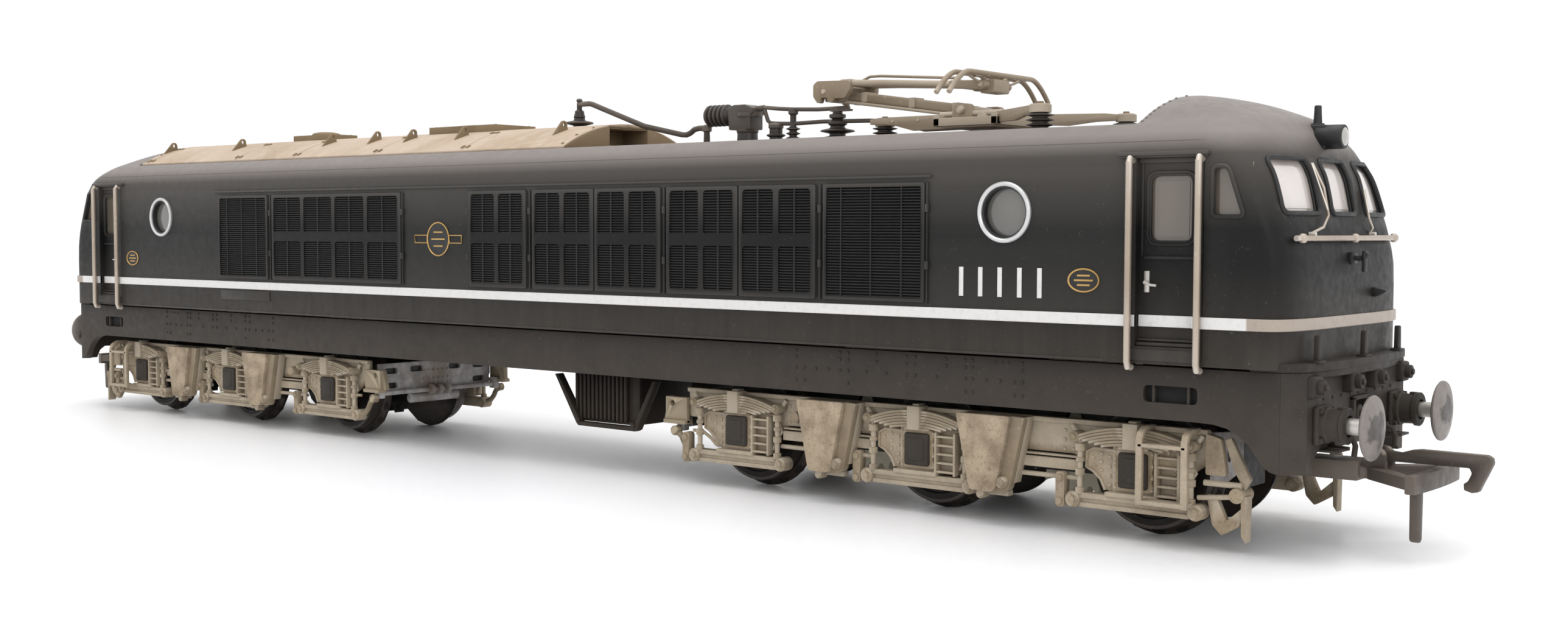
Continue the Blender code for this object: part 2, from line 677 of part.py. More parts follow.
def make_bogie(end, label):
    cx = end * BOGIE_X
    inward = -end
    swivel = pivot(label + "_bogie_swivel", (cx, 0, 18.3))
    make_bogie_frame(label + "_bogie_frame", cx, inward, swivel)
    for side, which in ((1, "left"), (-1, "right")):
        make_sideframe(f"{label}_bogie_{which}_side", cx, inward, side, swivel)

    # Meshing phases: the turn of each gear puts a tooth of one in a gap of the next.
    # A direction in the XZ plane is measured as the rotation about +Y that takes +X to it.
    up = -math.pi / 2
    worm_turn = gear_phase(WORM_GEAR_TEETH, up, False)
    make_gear(label + "_worm_gear", WORM_GEAR_TEETH, (cx, 0, WORM_GEAR_Z), worm_turn, swivel)
    for way, place in ((inward, "inner"), (-inward, "outer")):
        idler_x = way * IDLER_X
        down = math.atan2(WORM_GEAR_Z - IDLER_Z, idler_x)
        worm_pitch = 2 * math.pi / WORM_GEAR_TEETH
        worm_lead = (down - worm_turn) / worm_pitch
        worm_offset = (worm_lead - round(worm_lead)) * worm_pitch
        idler_turn = gear_phase(IDLER_TEETH, down + math.pi, True)
        idler_turn += worm_offset * WORM_GEAR_TEETH / IDLER_TEETH
        make_gear(f"{label}_{place}_idler", IDLER_TEETH, (cx + idler_x, 0, IDLER_Z), idler_turn, swivel)
        onward = math.atan2(IDLER_DROP, way * IDLER_REACH)
        idler_pitch = 2 * math.pi / IDLER_TEETH
        idler_lead = (onward - idler_turn) / idler_pitch
        idler_offset = (idler_lead - round(idler_lead)) * idler_pitch
        turn = gear_phase(AXLE_GEAR_TEETH, onward + math.pi, True)
        turn += idler_offset * IDLER_TEETH / AXLE_GEAR_TEETH
        make_wheelset(f"{label}_{place}_wheelset", cx + way * AXLE_SPACING, turn, swivel)
    make_wheelset(f"{label}_centre_wheelset", cx, None, swivel)
    make_worm(label + "_worm", cx, inward, swivel)


# ---------------------------------------------------------------- buffers and couplings
def make_buffers():
    for end, place in ((1, "front"), (-1, "rear")):
        for side, which in ((1, "left"), (-1, "right")):
            y = side * BUFFER_Y
            plate_x = sorted((end * 127.3, end * 128.0))
            housing = box((plate_x[0], y - 2.0, BUFFER_Z - 2.0), (plate_x[1], y + 2.0, BUFFER_Z + 2.0))
            join(housing, rod((end * 128.95, y, BUFFER_Z), "X", 2.7, 1.75, sides=14))
            cut(housing, rod((end * 128.8, y, BUFFER_Z), "X", 6.0, 1.2, sides=12))
            keep(housing, f"{place}_{which}_buffer_housing", CHARCOAL, 0.5)
            tip = BUFFER_TIP_X
            outline = [(0, tip), (BUFFER_HEAD_R - 0.5, tip), (BUFFER_HEAD_R, tip - 0.5),
                       (BUFFER_HEAD_R, tip - 1.3), (0.9, tip - 1.5), (0.9, 129.0), (0, 129.0)]
            profile = outline if end > 0 else [(r, -h) for r, h in reversed(outline)]
            head = turned(profile, (0, y, BUFFER_Z), "X", 18)
            slide = pivot(f"{place}_{which}_buffer_axis", (end * 129, y, BUFFER_Z))
            keep(head, f"{place}_{which}_buffer_head", STEEL, 0.4, 0.7, slide)


def make_coupling(end, place):
    """Swinging bar with its dropper, and the hook that lifts on it."""
    def bx(x0, x1, y0, y1, z0, z1):
        low, high = sorted((end * x0, end * x1))
        return box((low, y0, z0), (high, y1, z1))
    swing = pivot(place + "_coupling_swing", (end * COUPLING_X, 0, COUPLING_Z))
    bar = bx(COUPLING_X, 135.6, -1.6, 1.6, 8.0, 9.4)
    join(bar, rod((end * COUPLING_X, 0, 8.7), "Z", 1.38, 2.5, sides=16))
    join(bar, bx(135.1, 136.3, -7.5, 7.5, 7.6, 9.6), bx(134.9, 136.1, -6.2, -4.8, 2.5, 8.0))
    join(bar, bx(128.6, 130.6, -1.75, 1.75, 9.0, 11.6))
    hook_x, hook_z = HOOK_PIVOT
    cut(bar, rod((end * COUPLING_X, 0, 8.7), "Z", 6, 1.1, sides=16), bx(127, 132, -0.85, 0.85, 9.7, 14),
        rod((end * hook_x, 0, hook_z), "Y", 6, 0.7, sides=12))
    keep(bar, place + "_coupling_bar", (0.20, 0.16, 0.13), 0.5, 0.5, swing)
    lift = pivot(place + "_hook_lift", (end * hook_x, 0, hook_z), swing)
    outline = [(hook_x - 0.7, 10.05), (138.6, 10.05), (139.6, 7.5), (140.6, 7.5), (141.8, 10.6),
               (141.2, 11.5), (hook_x - 0.7, 11.35)]
    hook = prism([(end * x, z) for x, z in outline], "Y", -0.5, 0.5)
    join(hook, rod((end * hook_x, 0, hook_z), "Y", 3.2, 0.4, sides=10))
    keep(hook, place + "_coupling_hook", (0.20, 0.16, 0.13), 0.5, 0.5, lift)


# ---------------------------------------------------------------- roof equipment
def shed_profile(radius, height, sheds, core):
    """Ribbed porcelain profile: sharp sheds over a round core, height measured down from the top."""
    points = [(0, height), (core, height)]
    pitch = height / sheds
    for i in range(sheds):
        top = height - i * pitch
        points += [(core, top - 0.15 * pitch), (radius, top - 0.5 * pitch), (core, top - 0.85 * pitch)]
    return points + [(core, 0), (0, 0)]


DECK_TOP = DECK_Z + GAP
PANTO_FOOT_HEIGHT = 1.6
PANTO_FEET = ((60.8, 0.0), (91.7, -11.0), (91.7, 11.0))


def make_roof_gear():
    for index, (x, y) in enumerate(PANTO_FEET, start=1):
        insulator = turned(shed_profile(1.45, PANTO_FOOT_HEIGHT, 2, 0.8), (x, y, DECK_TOP), "Z", 10)
        keep(insulator, f"pantograph_insulator_{index}", PORCELAIN, 0.4)

    base_low, base_high = DECK_TOP + PANTO_FOOT_HEIGHT + GAP, 51.0
    base = box((72.2, -5.2, 49.0), (82.0, 5.2, 50.4))
    join(base, prism([(59.6, -0.9), (64.0, -1.0), (73.0, -2.2), (73.0, 2.2), (64.0, 1.0), (59.6, 0.9)], "Z",
                     base_low, base_high))
    for side in (1, -1):
        arm = [(80.0, side * 3.0), (82.5, side * 3.4), (93.0, side * 10.3), (92.6, side * 12.0),
               (90.4, side * 11.6), (78.0, side * 5.0)]
        join(base, prism(arm, "Z", base_low, base_high))
        y_low, y_high = sorted((side * 3.1, side * 4.3))
        join(base, prism([(74.6, 50.0), (77.4, 50.0), (76.9, 52.3), (75.2, 52.3)], "Y", y_low, y_high))
    cut(base, rod((PANTO_BASE_PIVOT[0], 0, PANTO_BASE_PIVOT[1]), "Y", 14, 0.85, sides=14))
    keep(base, "pantograph_base", PANTO_TAN, 0.5, 0.4)

    raise_axis = pivot("pantograph_raise", (PANTO_BASE_PIVOT[0], 0, PANTO_BASE_PIVOT[1]))
    elbow_axis = pivot("pantograph_elbow", (PANTO_ELBOW[0], 0, PANTO_ELBOW[1]), raise_axis)
    head_axis = pivot("pantograph_head_pivot", (PANTO_HEAD[0], 0, PANTO_HEAD[1]), elbow_axis)
    lower = prism([(54.4, 53.7), (54.8, 54.6), (75.6, 52.0), (75.4, 50.95)], "Y", -1.3, 1.3)
    join(lower, rod((PANTO_BASE_PIVOT[0], 0, PANTO_BASE_PIVOT[1]), "Y", 9.0, 0.55, sides=12),
         rod((PANTO_BASE_PIVOT[0], 0, PANTO_BASE_PIVOT[1]), "Y", 5.4, 0.75, sides=12),
         box((51.4, -2.1, 53.6), (55.2, 2.1, 55.5)))
    cut(lower, rod((PANTO_ELBOW[0], 0, PANTO_ELBOW[1]), "Y", 10, 0.8, sides=14))
    keep(lower, "pantograph_lower_arm", PANTO_TAN, 0.5, 0.4, raise_axis)

    upper = box((51.2, 2.5, 53.9), (56.6, 3.6, 56.1))
    join(upper, box((51.2, -3.6, 53.9), (56.6, -2.5, 56.1)), box((54.2, -3.4, 55.9), (56.5, 3.4, 56.6)),
         prism([(55.6, 55.6), (55.6, 56.5), (74.2, 55.2), (74.2, 54.4)], "Y", -0.9, 0.9),
         box((73.6, -3.4, 54.1), (74.9, 3.4, 55.1)),
         box((74.2, 2.3, 54.1), (78.9, 3.3, 55.1)), box((74.2, -3.3, 54.1), (78.9, -2.3, 55.1)),
         rod((PANTO_ELBOW[0], 0, PANTO_ELBOW[1]), "Y", 7.0, 0.5, sides=12))
    cut(upper, rod((PANTO_HEAD[0], 0, PANTO_HEAD[1]), "Y", 10, 0.42, sides=12))
    keep(upper, "pantograph_upper_arm", PANTO_TAN, 0.5, 0.4, elbow_axis)

    head = box((77.2, -1.6, 54.0), (79.4, 1.6, 56.0))
    join(head, rod((PANTO_HEAD[0], 0, PANTO_HEAD[1]), "Y", 7.4, 0.22, sides=8))
    for x in (77.5, 79.1):
        half_strip = [(x, 9.0, 55.8), (x, 10.6, 54.9), (x, 12.0, 52.9)]
        strip = [(x, -y, z) for x, y, z in reversed(half_strip)] + half_strip
        join(head, wire(strip, 0.4))
    keep(head, "pantograph_head", PANTO_TAN, 0.5, 0.4, head_axis)

    breaker = turned(shed_profile(2.4, 2.6, 2, 1.2), (36.0, 0, DECK_TOP), "Z", 12)
    join(breaker, box((33.4, -1.6, 50.5), (38.2, 1.6, 54.2)),
         turned(shed_profile(1.4, 5.6, 4, 0.8), (28.2, 0, 52.7), "X", 10))
    keep(breaker, "circuit_breaker", PORCELAIN, 0.4)

    post_1 = turned(shed_profile(2.1, 2.4, 2, 1.1), (41.4, 0, DECK_TOP), "Z", 12)
    keep(post_1, "post_insulator_1", PORCELAIN, 0.4)
    post_2 = turned(shed_profile(2.5, 4.0, 2, 1.1), (52.6, 0, DECK_TOP), "Z", 12)
    keep(post_2, "post_insulator_2", PORCELAIN, 0.4)

    bar = wire([(38.5, 0, 53.5), (44.6, 0, 53.1), (52.6, 0, 52.7)], 0.25)
    join(bar, wire([(41.4, 0, 50.9), (41.4, 0, 51.2), (44.6, 0, 51.0), (49.0, 0, 51.0)], 0.25),
         wire([(44.6, 0, 53.3), (44.6, 0, 50.6)], 0.3))
    keep(bar, "roof_busbar", PANTO_TAN, 0.5, 0.5)

    lead_post = turned(shed_profile(2.3, 2.8, 2, 1.0), (0.7, 0, 52.5), "Z", 12)
    keep(lead_post, "lead_insulator", PORCELAIN, 0.4)
    route = [(0.7, 0, 55.9), (3.4, 0, 55.7), (6.3, 0, 54.7), (15.0, 0, 52.9), (23.5, 0, 50.1), (24.6, 0, 50.1),
             (26.2, 0, 50.8), (28.4, 0, 50.9), (33.0, 0, 50.8)]
    keep(wire(route, 0.25), "roof_lead", PANTO_TAN, 0.5, 0.5)


# ---------------------------------------------------------------- assembly
make_body()
make_cab_glazing(1, "front_cab_glazing")
make_cab_glazing(-1, "rear_cab_glazing")
make_roof_panel()
make_solebar()
make_chassis()
make_circuit_board()
make_equipment_box(-1, 12.5, "right_equipment_box")
make_equipment_box(1, 9.5, "left_equipment_box")
make_motor()
make_rotor()
make_cardan("front_cardan_shaft", 1)
make_cardan("rear_cardan_shaft", -1)
make_bogie(1, "front")
make_bogie(-1, "rear")
make_buffers()
make_coupling(1, "front")
make_coupling(-1, "rear")
make_roof_gear()
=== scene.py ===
import json
import math

import bmesh
import bpy
from mathutils import Matrix, Vector


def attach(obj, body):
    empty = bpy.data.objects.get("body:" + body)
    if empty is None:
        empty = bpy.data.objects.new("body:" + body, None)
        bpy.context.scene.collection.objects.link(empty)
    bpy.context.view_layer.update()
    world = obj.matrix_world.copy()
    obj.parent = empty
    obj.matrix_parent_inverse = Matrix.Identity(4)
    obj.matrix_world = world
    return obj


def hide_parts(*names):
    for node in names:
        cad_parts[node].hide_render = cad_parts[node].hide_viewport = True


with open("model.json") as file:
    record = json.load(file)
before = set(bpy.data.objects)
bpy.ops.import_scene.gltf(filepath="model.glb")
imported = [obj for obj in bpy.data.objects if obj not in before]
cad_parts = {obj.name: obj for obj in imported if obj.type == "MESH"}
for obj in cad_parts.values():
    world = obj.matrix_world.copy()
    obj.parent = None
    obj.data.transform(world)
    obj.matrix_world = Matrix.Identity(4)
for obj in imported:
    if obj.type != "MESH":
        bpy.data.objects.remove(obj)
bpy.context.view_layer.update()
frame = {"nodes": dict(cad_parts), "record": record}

MM = 0.001

ENDS = (("front", 1), ("rear", -1))
SIDES = (("left", 1), ("right", -1))
ALONG, OUTWARD, UP = (1, 0, 0), (0, 1, 0), (0, 0, 1)
BEVEL_DEGREES = 31
SMOOTH_DEGREES = 33
SHELL_SMOOTH_DEGREES = 30


# ---------------------------------------------------------------- mesh making, in millimetres
def axis_matrix(start, end):
    """Matrix that takes Z to the line from start to end, centred between them."""
    start, end = Vector(start), Vector(end)
    turn = Vector((0, 0, 1)).rotation_difference(end - start).to_matrix().to_4x4()
    return Matrix.Translation((start + end) / 2) @ turn


def rounded(points, radius, steps=4):
    """Closed outline with each corner replaced by an arc."""
    out = []
    count = len(points)
    for i, corner in enumerate(points):
        here = Vector(corner)
        before = Vector(points[i - 1]) - here
        after = Vector(points[(i + 1) % count]) - here
        reach = min(radius, before.length * 0.45, after.length * 0.45)
        a, b = here + before.normalized() * reach, here + after.normalized() * reach
        for k in range(steps + 1):
            t = k / steps
            out.append(tuple(a * (1 - t) ** 2 + here * 2 * t * (1 - t) + b * t * t))
    return out


def spread(low, high, parts):
    """Evenly spaced values from low to high, both included."""
    return [low + (high - low) * k / parts for k in range(parts + 1)]


def ellipse(a, b, reach_a, reach_b, count):
    """Closed outline round a centre."""
    turns = [2 * math.pi * k / count for k in range(count)]
    return [(a + reach_a * math.cos(turn), b + reach_b * math.sin(turn)) for turn in turns]


def rectangle(a0, a1, b0, b1, radius=0.0, steps=4):
    corners = [(a0, b0), (a1, b0), (a1, b1), (a0, b1)]
    return rounded(corners, radius, steps) if radius else corners


class Piece:
    def __init__(self):
        self.bm = bmesh.new()

    def add(self, other, bevel=0.0, segments=2):
        """Take in another bmesh, with its sharp edges rounded off."""
        if bevel:
            sharp = [e for e in other.edges
                     if len(e.link_faces) == 2 and e.calc_face_angle(0) > math.radians(BEVEL_DEGREES)]
            bmesh.ops.bevel(other, geom=sharp, offset=bevel, segments=segments, profile=0.5,
                            affect="EDGES", clamp_overlap=True)
        holder = bpy.data.meshes.new("part")
        other.to_mesh(holder)
        other.free()
        self.bm.from_mesh(holder)
        bpy.data.meshes.remove(holder)

    def box(self, low, high, bevel=0.0, segments=2):
        bm = bmesh.new()
        size = [max(b - a, 1e-4) for a, b in zip(low, high)]
        middle = [(a + b) / 2 for a, b in zip(low, high)]
        bmesh.ops.create_cube(bm, size=1, matrix=Matrix.Translation(middle) @ Matrix.Diagonal((*size, 1)))
        self.add(bm, bevel, segments)

    def rod(self, start, end, radius, radius_end=None, sides=24, bevel=0.0):
        bm = bmesh.new()
        length = (Vector(end) - Vector(start)).length
        bmesh.ops.create_cone(bm, cap_ends=True, segments=sides, radius1=radius,
                              radius2=radius if radius_end is None else radius_end,
                              depth=length, matrix=axis_matrix(start, end))
        self.add(bm, bevel)

    def pin(self, x, z, near, far, radius, radius_end=None, sides=24, bevel=0.0):
        """Rod across the locomotive, from y near to y far."""
        self.rod((x, near, z), (x, far, z), radius, radius_end, sides, bevel)

    def prism(self, outline, axis, low, high, bevel=0.0, segments=2):
        """Flat outline pushed along an axis; its two values are the other two axes in order."""
        bm = bmesh.new()
        spot = {"X": lambda a, b, c: (c, a, b), "Y": lambda a, b, c: (a, c, b),
                "Z": lambda a, b, c: (a, b, c)}[axis]
        near = [bm.verts.new(spot(a, b, low)) for a, b in outline]
        far = [bm.verts.new(spot(a, b, high)) for a, b in outline]
        bm.faces.new(near)
        bm.faces.new(far)
        for i in range(len(near)):
            j = (i + 1) % len(near)
            bm.faces.new((near[i], near[j], far[j], far[i]))
        bmesh.ops.recalc_face_normals(bm, faces=bm.faces)
        self.add(bm, bevel, segments)

    def lathe(self, profile, centre, direction, steps=48):
        """Turned shape: (radius, height) points, the height along the direction from the centre."""
        bm = bmesh.new()
        rings = []
        for radius, height in profile:
            if radius < 1e-4:
                rings.append([bm.verts.new((0, 0, height))])
            else:
                rings.append([bm.verts.new((radius * math.cos(2 * math.pi * k / steps),
                                            radius * math.sin(2 * math.pi * k / steps), height))
                              for k in range(steps)])
        for lower, upper in zip(rings, rings[1:]):
            for k in range(steps):
                n = (k + 1) % steps
                if len(lower) == 1 and len(upper) == 1:
                    continue
                if len(lower) == 1:
                    bm.faces.new((lower[0], upper[k], upper[n]))
                elif len(upper) == 1:
                    bm.faces.new((lower[k], lower[n], upper[0]))
                else:
                    bm.faces.new((lower[k], lower[n], upper[n], upper[k]))
        bmesh.ops.recalc_face_normals(bm, faces=bm.faces)
        turn = Vector((0, 0, 1)).rotation_difference(Vector(direction)).to_matrix().to_4x4()
        bmesh.ops.transform(bm, matrix=Matrix.Translation(centre) @ turn, verts=bm.verts)
        self.add(bm)

    def tube(self, points, radius, sides=10, closed=False, flat=1.0):
        """Round wire along the points; flat squeezes it across its own bend."""
        bm = bmesh.new()
        path = [Vector(p) for p in points]
        count = len(path)
        rings = []
        normal = None
        for i, here in enumerate(path):
            before = path[i - 1] if (closed or i) else here
            after = path[(i + 1) % count] if (closed or i < count - 1) else here
            along = (after - before).normalized()
            if normal is None:
                normal = along.orthogonal().normalized()
            normal = (normal - along * normal.dot(along)).normalized()
            across = along.cross(normal)
            rings.append([bm.verts.new(here + normal * radius * flat * math.cos(2 * math.pi * k / sides)
                                       + across * radius * math.sin(2 * math.pi * k / sides))
                          for k in range(sides)])
        spans = list(zip(rings, rings[1:] + rings[:1])) if closed else list(zip(rings, rings[1:]))
        for number, (first, second) in enumerate(spans):
            shift = 0
            if closed and number == len(spans) - 1:
                shift = min(range(sides), key=lambda s: (first[0].co - second[s].co).length)
            for k in range(sides):
                n = (k + 1) % sides
                bm.faces.new((first[k], first[n], second[(n + shift) % sides], second[(k + shift) % sides]))
        if not closed:
            bm.faces.new(rings[0])
            bm.faces.new(rings[-1])
        bmesh.ops.recalc_face_normals(bm, faces=bm.faces)
        self.add(bm)

    def rivet(self, spot, direction, radius=0.22, height=0.16, sides=8):
        """Small domed head standing on a surface."""
        profile = [(radius, -0.1), (radius, 0.0), (radius * 0.75, height * 0.7), (0, height)]
        self.lathe(profile, spot, direction, sides)

    def grid(self, rows):
        """Sheet through rows of points."""
        bm = bmesh.new()
        made = [[bm.verts.new(p) for p in row] for row in rows]
        for first, second in zip(made, made[1:]):
            for k in range(len(first) - 1):
                bm.faces.new((first[k], first[k + 1], second[k + 1], second[k]))
        self.add(bm)

    def object(self, name="tool", flip=(1, 1)):
        """Turn what was gathered into an object in metres, mirrored by end and side if asked."""
        bmesh.ops.scale(self.bm, vec=(MM * flip[0], MM * flip[1], MM), verts=self.bm.verts)
        if flip[0] * flip[1] < 0:
            bmesh.ops.reverse_faces(self.bm, faces=self.bm.faces)
        mesh = bpy.data.meshes.new(name)
        self.bm.to_mesh(mesh)
        self.bm.free()
        obj = bpy.data.objects.new(name, mesh)
        bpy.context.scene.collection.objects.link(obj)
        return obj

    def cut(self, *tools):
        """Take other pieces out of this one."""
        obj = self.object()
        for tool in tools:
            carve(obj, tool.object())
        self.bm = bmesh.new()
        self.bm.from_mesh(obj.data)
        bmesh.ops.scale(self.bm, vec=(1 / MM, 1 / MM, 1 / MM), verts=self.bm.verts)
        bpy.data.objects.remove(obj, do_unlink=True)

    def join(self, other):
        """Take in all of another piece."""
        self.add(other.bm)

    def corner_boxes(self, low, high, bevel=0.0):
        """The same box at all four corners of the locomotive."""
        for end in (1, -1):
            for side in (1, -1):
                xs = sorted((end * low[0], end * high[0]))
                ys = sorted((side * low[1], side * high[1]))
                self.box((xs[0], ys[0], low[2]), (xs[1], ys[1], high[2]), bevel)

    def finish(self, name, slot, material, flip=(1, 1), body="locomotive", covers=None):
        file_piece(self.object(name, flip), material, body, covers)


def file_piece(obj, material, body="locomotive", covers=None, smooth=SMOOTH_DEGREES):
    """Shade an object, put it on its body, and cover the CAD node that it stands for."""
    obj.data.shade_smooth()
    obj.data.set_sharp_from_angle(angle=math.radians(smooth))
    obj.data.materials.clear()
    obj.data.materials.append(material)
    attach(obj, body)
    if covers:
        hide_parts(covers)


def carve(obj, tool):
    """Cut a tool out of an object with one exact Boolean and throw the tool away."""
    step = obj.modifiers.new("carve", "BOOLEAN")
    step.operation = "DIFFERENCE"
    step.solver = "EXACT"
    step.object = tool
    graph = bpy.context.evaluated_depsgraph_get()
    result = bpy.data.meshes.new_from_object(obj.evaluated_get(graph))
    obj.modifiers.clear()
    obj.data = result
    bpy.data.objects.remove(tool, do_unlink=True)


# ---------------------------------------------------------------- materials
def linear(red, green, blue):
    """Screen colour, 0 to 255, as the shader's linear colour."""
    def one(value):
        value /= 255
        return value / 12.92 if value <= 0.04045 else ((value + 0.055) / 1.055) ** 2.4
    return (one(red), one(green), one(blue), 1)


class Shader:
    """Node material built up in layers of colour over one Principled shader."""

    def __init__(self, name, metallic=0.0, coat=0.0, specular=0.5):
        self.material = bpy.data.materials.new(name)
        self.material.use_nodes = True
        self.tree = self.material.node_tree
        self.shader = self.tree.nodes["Principled BSDF"]
        self.shader.inputs["Metallic"].default_value = metallic
        self.shader.inputs["Coat Weight"].default_value = coat
        self.shader.inputs["Coat Roughness"].default_value = 0.12
        self.shader.inputs["Specular IOR Level"].default_value = specular
        self.place = self.node("ShaderNodeTexCoord").outputs["Object"]
        self.colour = None

    def node(self, kind, **settings):
        made = self.tree.nodes.new(kind)
        for key, value in settings.items():
            setattr(made, key, value)
        return made

    def link(self, source, target):
        self.tree.links.new(source, target)

    def noise(self, scale, detail=4.0, rough=0.55, stretch=(1, 1, 1)):
        """Noise over the object, with the scale in cycles a millimetre."""
        mapping = self.node("ShaderNodeMapping")
        mapping.inputs["Scale"].default_value = [1000 * s for s in stretch]
        self.link(self.place, mapping.inputs["Vector"])
        noise = self.node("ShaderNodeTexNoise")
        noise.inputs["Scale"].default_value = scale
        noise.inputs["Detail"].default_value = detail
        noise.inputs["Roughness"].default_value = rough
        self.link(mapping.outputs["Vector"], noise.inputs["Vector"])
        return noise.outputs["Fac"]

    def ramp(self, source, low, high, top=1.0, bottom=0.0):
        """Remap a value between two limits."""
        remap = self.node("ShaderNodeMapRange")
        remap.inputs["From Min"].default_value = low
        remap.inputs["From Max"].default_value = high
        remap.inputs["To Min"].default_value = bottom
        remap.inputs["To Max"].default_value = top
        self.link(source, remap.inputs["Value"])
        return remap.outputs["Result"]

    def along(self, letter, absolute=False):
        """Coordinate in metres along one axis."""
        split = self.node("ShaderNodeSeparateXYZ")
        self.link(self.place, split.inputs[0])
        value = split.outputs[letter]
        if absolute:
            size = self.node("ShaderNodeMath", operation="ABSOLUTE")
            self.link(value, size.inputs[0])
            value = size.outputs[0]
        return value

    def times(self, first, second):
        product = self.node("ShaderNodeMath", operation="MULTIPLY")
        self.link(first, product.inputs[0])
        if isinstance(second, float):
            product.inputs[1].default_value = second
        else:
            self.link(second, product.inputs[1])
        return product.outputs[0]

    def base(self, colour):
        """Start from a screen colour."""
        value = self.node("ShaderNodeRGB")
        value.outputs[0].default_value = linear(*colour)
        self.colour = value.outputs[0]

    def layer(self, colour, amount):
        """Lay a screen colour over what is there, by an amount that varies over the surface."""
        mix = self.node("ShaderNodeMix", data_type="RGBA")
        self.link(amount, mix.inputs["Factor"])
        self.link(self.colour, mix.inputs[6])
        mix.inputs[7].default_value = linear(*colour)
        self.colour = mix.outputs[2]

    def edges(self, low=0.52, high=0.62):
        """Amount that is high on sharp outer edges."""
        geometry = self.node("ShaderNodeNewGeometry")
        return self.ramp(geometry.outputs["Pointiness"], low, high)

    def done(self, roughness=(0.45, 0.6), bump=0.0, bump_scale=3.0, rough_scale=0.8):
        """Join the colour, a varying roughness and a fine bump to the shader."""
        self.link(self.colour, self.shader.inputs["Base Color"])
        wander = self.ramp(self.noise(rough_scale), 0.35, 0.65, roughness[1], roughness[0])
        self.link(wander, self.shader.inputs["Roughness"])
        if bump:
            raised = self.node("ShaderNodeBump")
            raised.inputs["Strength"].default_value = bump
            raised.inputs["Distance"].default_value = 0.05 * MM
            self.link(self.noise(bump_scale, 6.0, 0.6), raised.inputs["Height"])
            self.link(raised.outputs["Normal"], self.shader.inputs["Normal"])
        return self.material


def satin(name, colour, dark, speck, roughness=(0.42, 0.55), metallic=0.0, dust=None, bump=0.25,
          edge=None, coat=0.0, specular=0.5):
    """Painted or moulded surface: base, broad dark patches, fine specks, dust low down, worn edges."""
    made = Shader(name, metallic, coat, specular)
    made.base(colour)
    made.layer(dark, made.ramp(made.noise(0.09, 5), 0.45, 0.7, 0.55))
    made.layer(speck, made.ramp(made.noise(1.6, 3, 0.7), 0.6, 0.74, 0.5))
    if dust:
        dust_colour, top, bottom, most = dust
        height = made.ramp(made.along("Z"), top * MM, bottom * MM, most)
        made.layer(dust_colour, made.times(height, made.ramp(made.noise(0.3, 6), 0.3, 0.6, 1.0, 0.55)))
    if edge:
        made.layer(edge, made.edges())
    return made.done(roughness, bump)


STRIPE_SEAM_X = 121.5
BUFFER_Y, BUFFER_Z = 11.4, 14.9
ROOF_GREY_AND_TOP_LIGHT = (128, 121, 117)
DUST = (94, 84, 72)


def body_material():
    """Charcoal satin sides fading to a dusty grey roof and a browner skirt; the fade upwards is partly grey
    paint, partly painted top light.
    """
    made = Shader("body_charcoal_satin", specular=0.16)
    made.base((23, 23, 23))
    made.layer((14, 14, 14), made.ramp(made.noise(0.06, 4), 0.45, 0.7, 0.5))
    height = made.along("Z")
    streaks = made.noise(0.55, 5, 0.6, (1, 1, 0.12))
    low_dust = made.times(made.ramp(height, 32 * MM, 16 * MM, 0.95), made.ramp(streaks, 0.25, 0.7, 1.0, 0.6))
    made.layer((70, 64, 58), low_dust)
    # Lighter up the top of the sides: painted top light, with some grey roof overspray
    made.layer((84, 80, 76), made.ramp(height, 36 * MM, 44.8 * MM, 0.75))
    # Grey roof: partly the roof's own grey paint, partly painted top light and painted sheen on the
    # upward-facing dome
    made.layer(ROOF_GREY_AND_TOP_LIGHT, made.ramp(height, 44.2 * MM, 46.8 * MM, 1.0))
    made.layer((120, 112, 106), made.times(made.ramp(height, 46 * MM, 47.5 * MM, 0.6),
                                                 made.ramp(made.noise(0.12, 5), 0.48, 0.66)))
    made.layer((96, 94, 92), made.ramp(made.noise(1.9, 2, 0.8), 0.66, 0.78, 0.35))
    made.layer((92, 90, 87), made.times(made.edges(0.53, 0.66), 0.35))
    return made.done((0.38, 0.52), 0.22, 4.0)


def roof_material():
    """Cream roof sheets with warm staining that gathers at their edges."""
    made = Shader("roof_cream_weathered", specular=0.3)
    made.base((186, 168, 149))
    made.layer((158, 136, 112), made.ramp(made.noise(0.1, 6, 0.6, (1, 0.5, 1)), 0.42, 0.7, 0.7))
    made.layer((198, 184, 168), made.ramp(made.noise(0.5, 5), 0.5, 0.75, 0.5))
    made.layer((132, 112, 90), made.ramp(made.noise(1.6, 3, 0.75), 0.64, 0.76, 0.5))
    return made.done((0.6, 0.78), 0.3, 2.5)


def stripe_material():
    """Waistband: off-white along the sides, tan-grey metal round the noses."""
    made = Shader("stripe_metal_band")
    made.base((212, 211, 209))
    made.layer((188, 186, 182), made.ramp(made.noise(1.2, 5, 0.7), 0.5, 0.72, 0.6))
    length = made.along("X", True)
    seam = ((STRIPE_SEAM_X - 0.1) * MM, (STRIPE_SEAM_X + 0.1) * MM)
    made.layer((160, 148, 137), made.ramp(length, *seam))
    made.layer((122, 110, 98), made.times(made.ramp(made.noise(1.8, 4, 0.8), 0.56, 0.7),
                                                made.ramp(length, *seam, 0.7)))
    return made.done((0.35, 0.5), 0.3, 5.0)


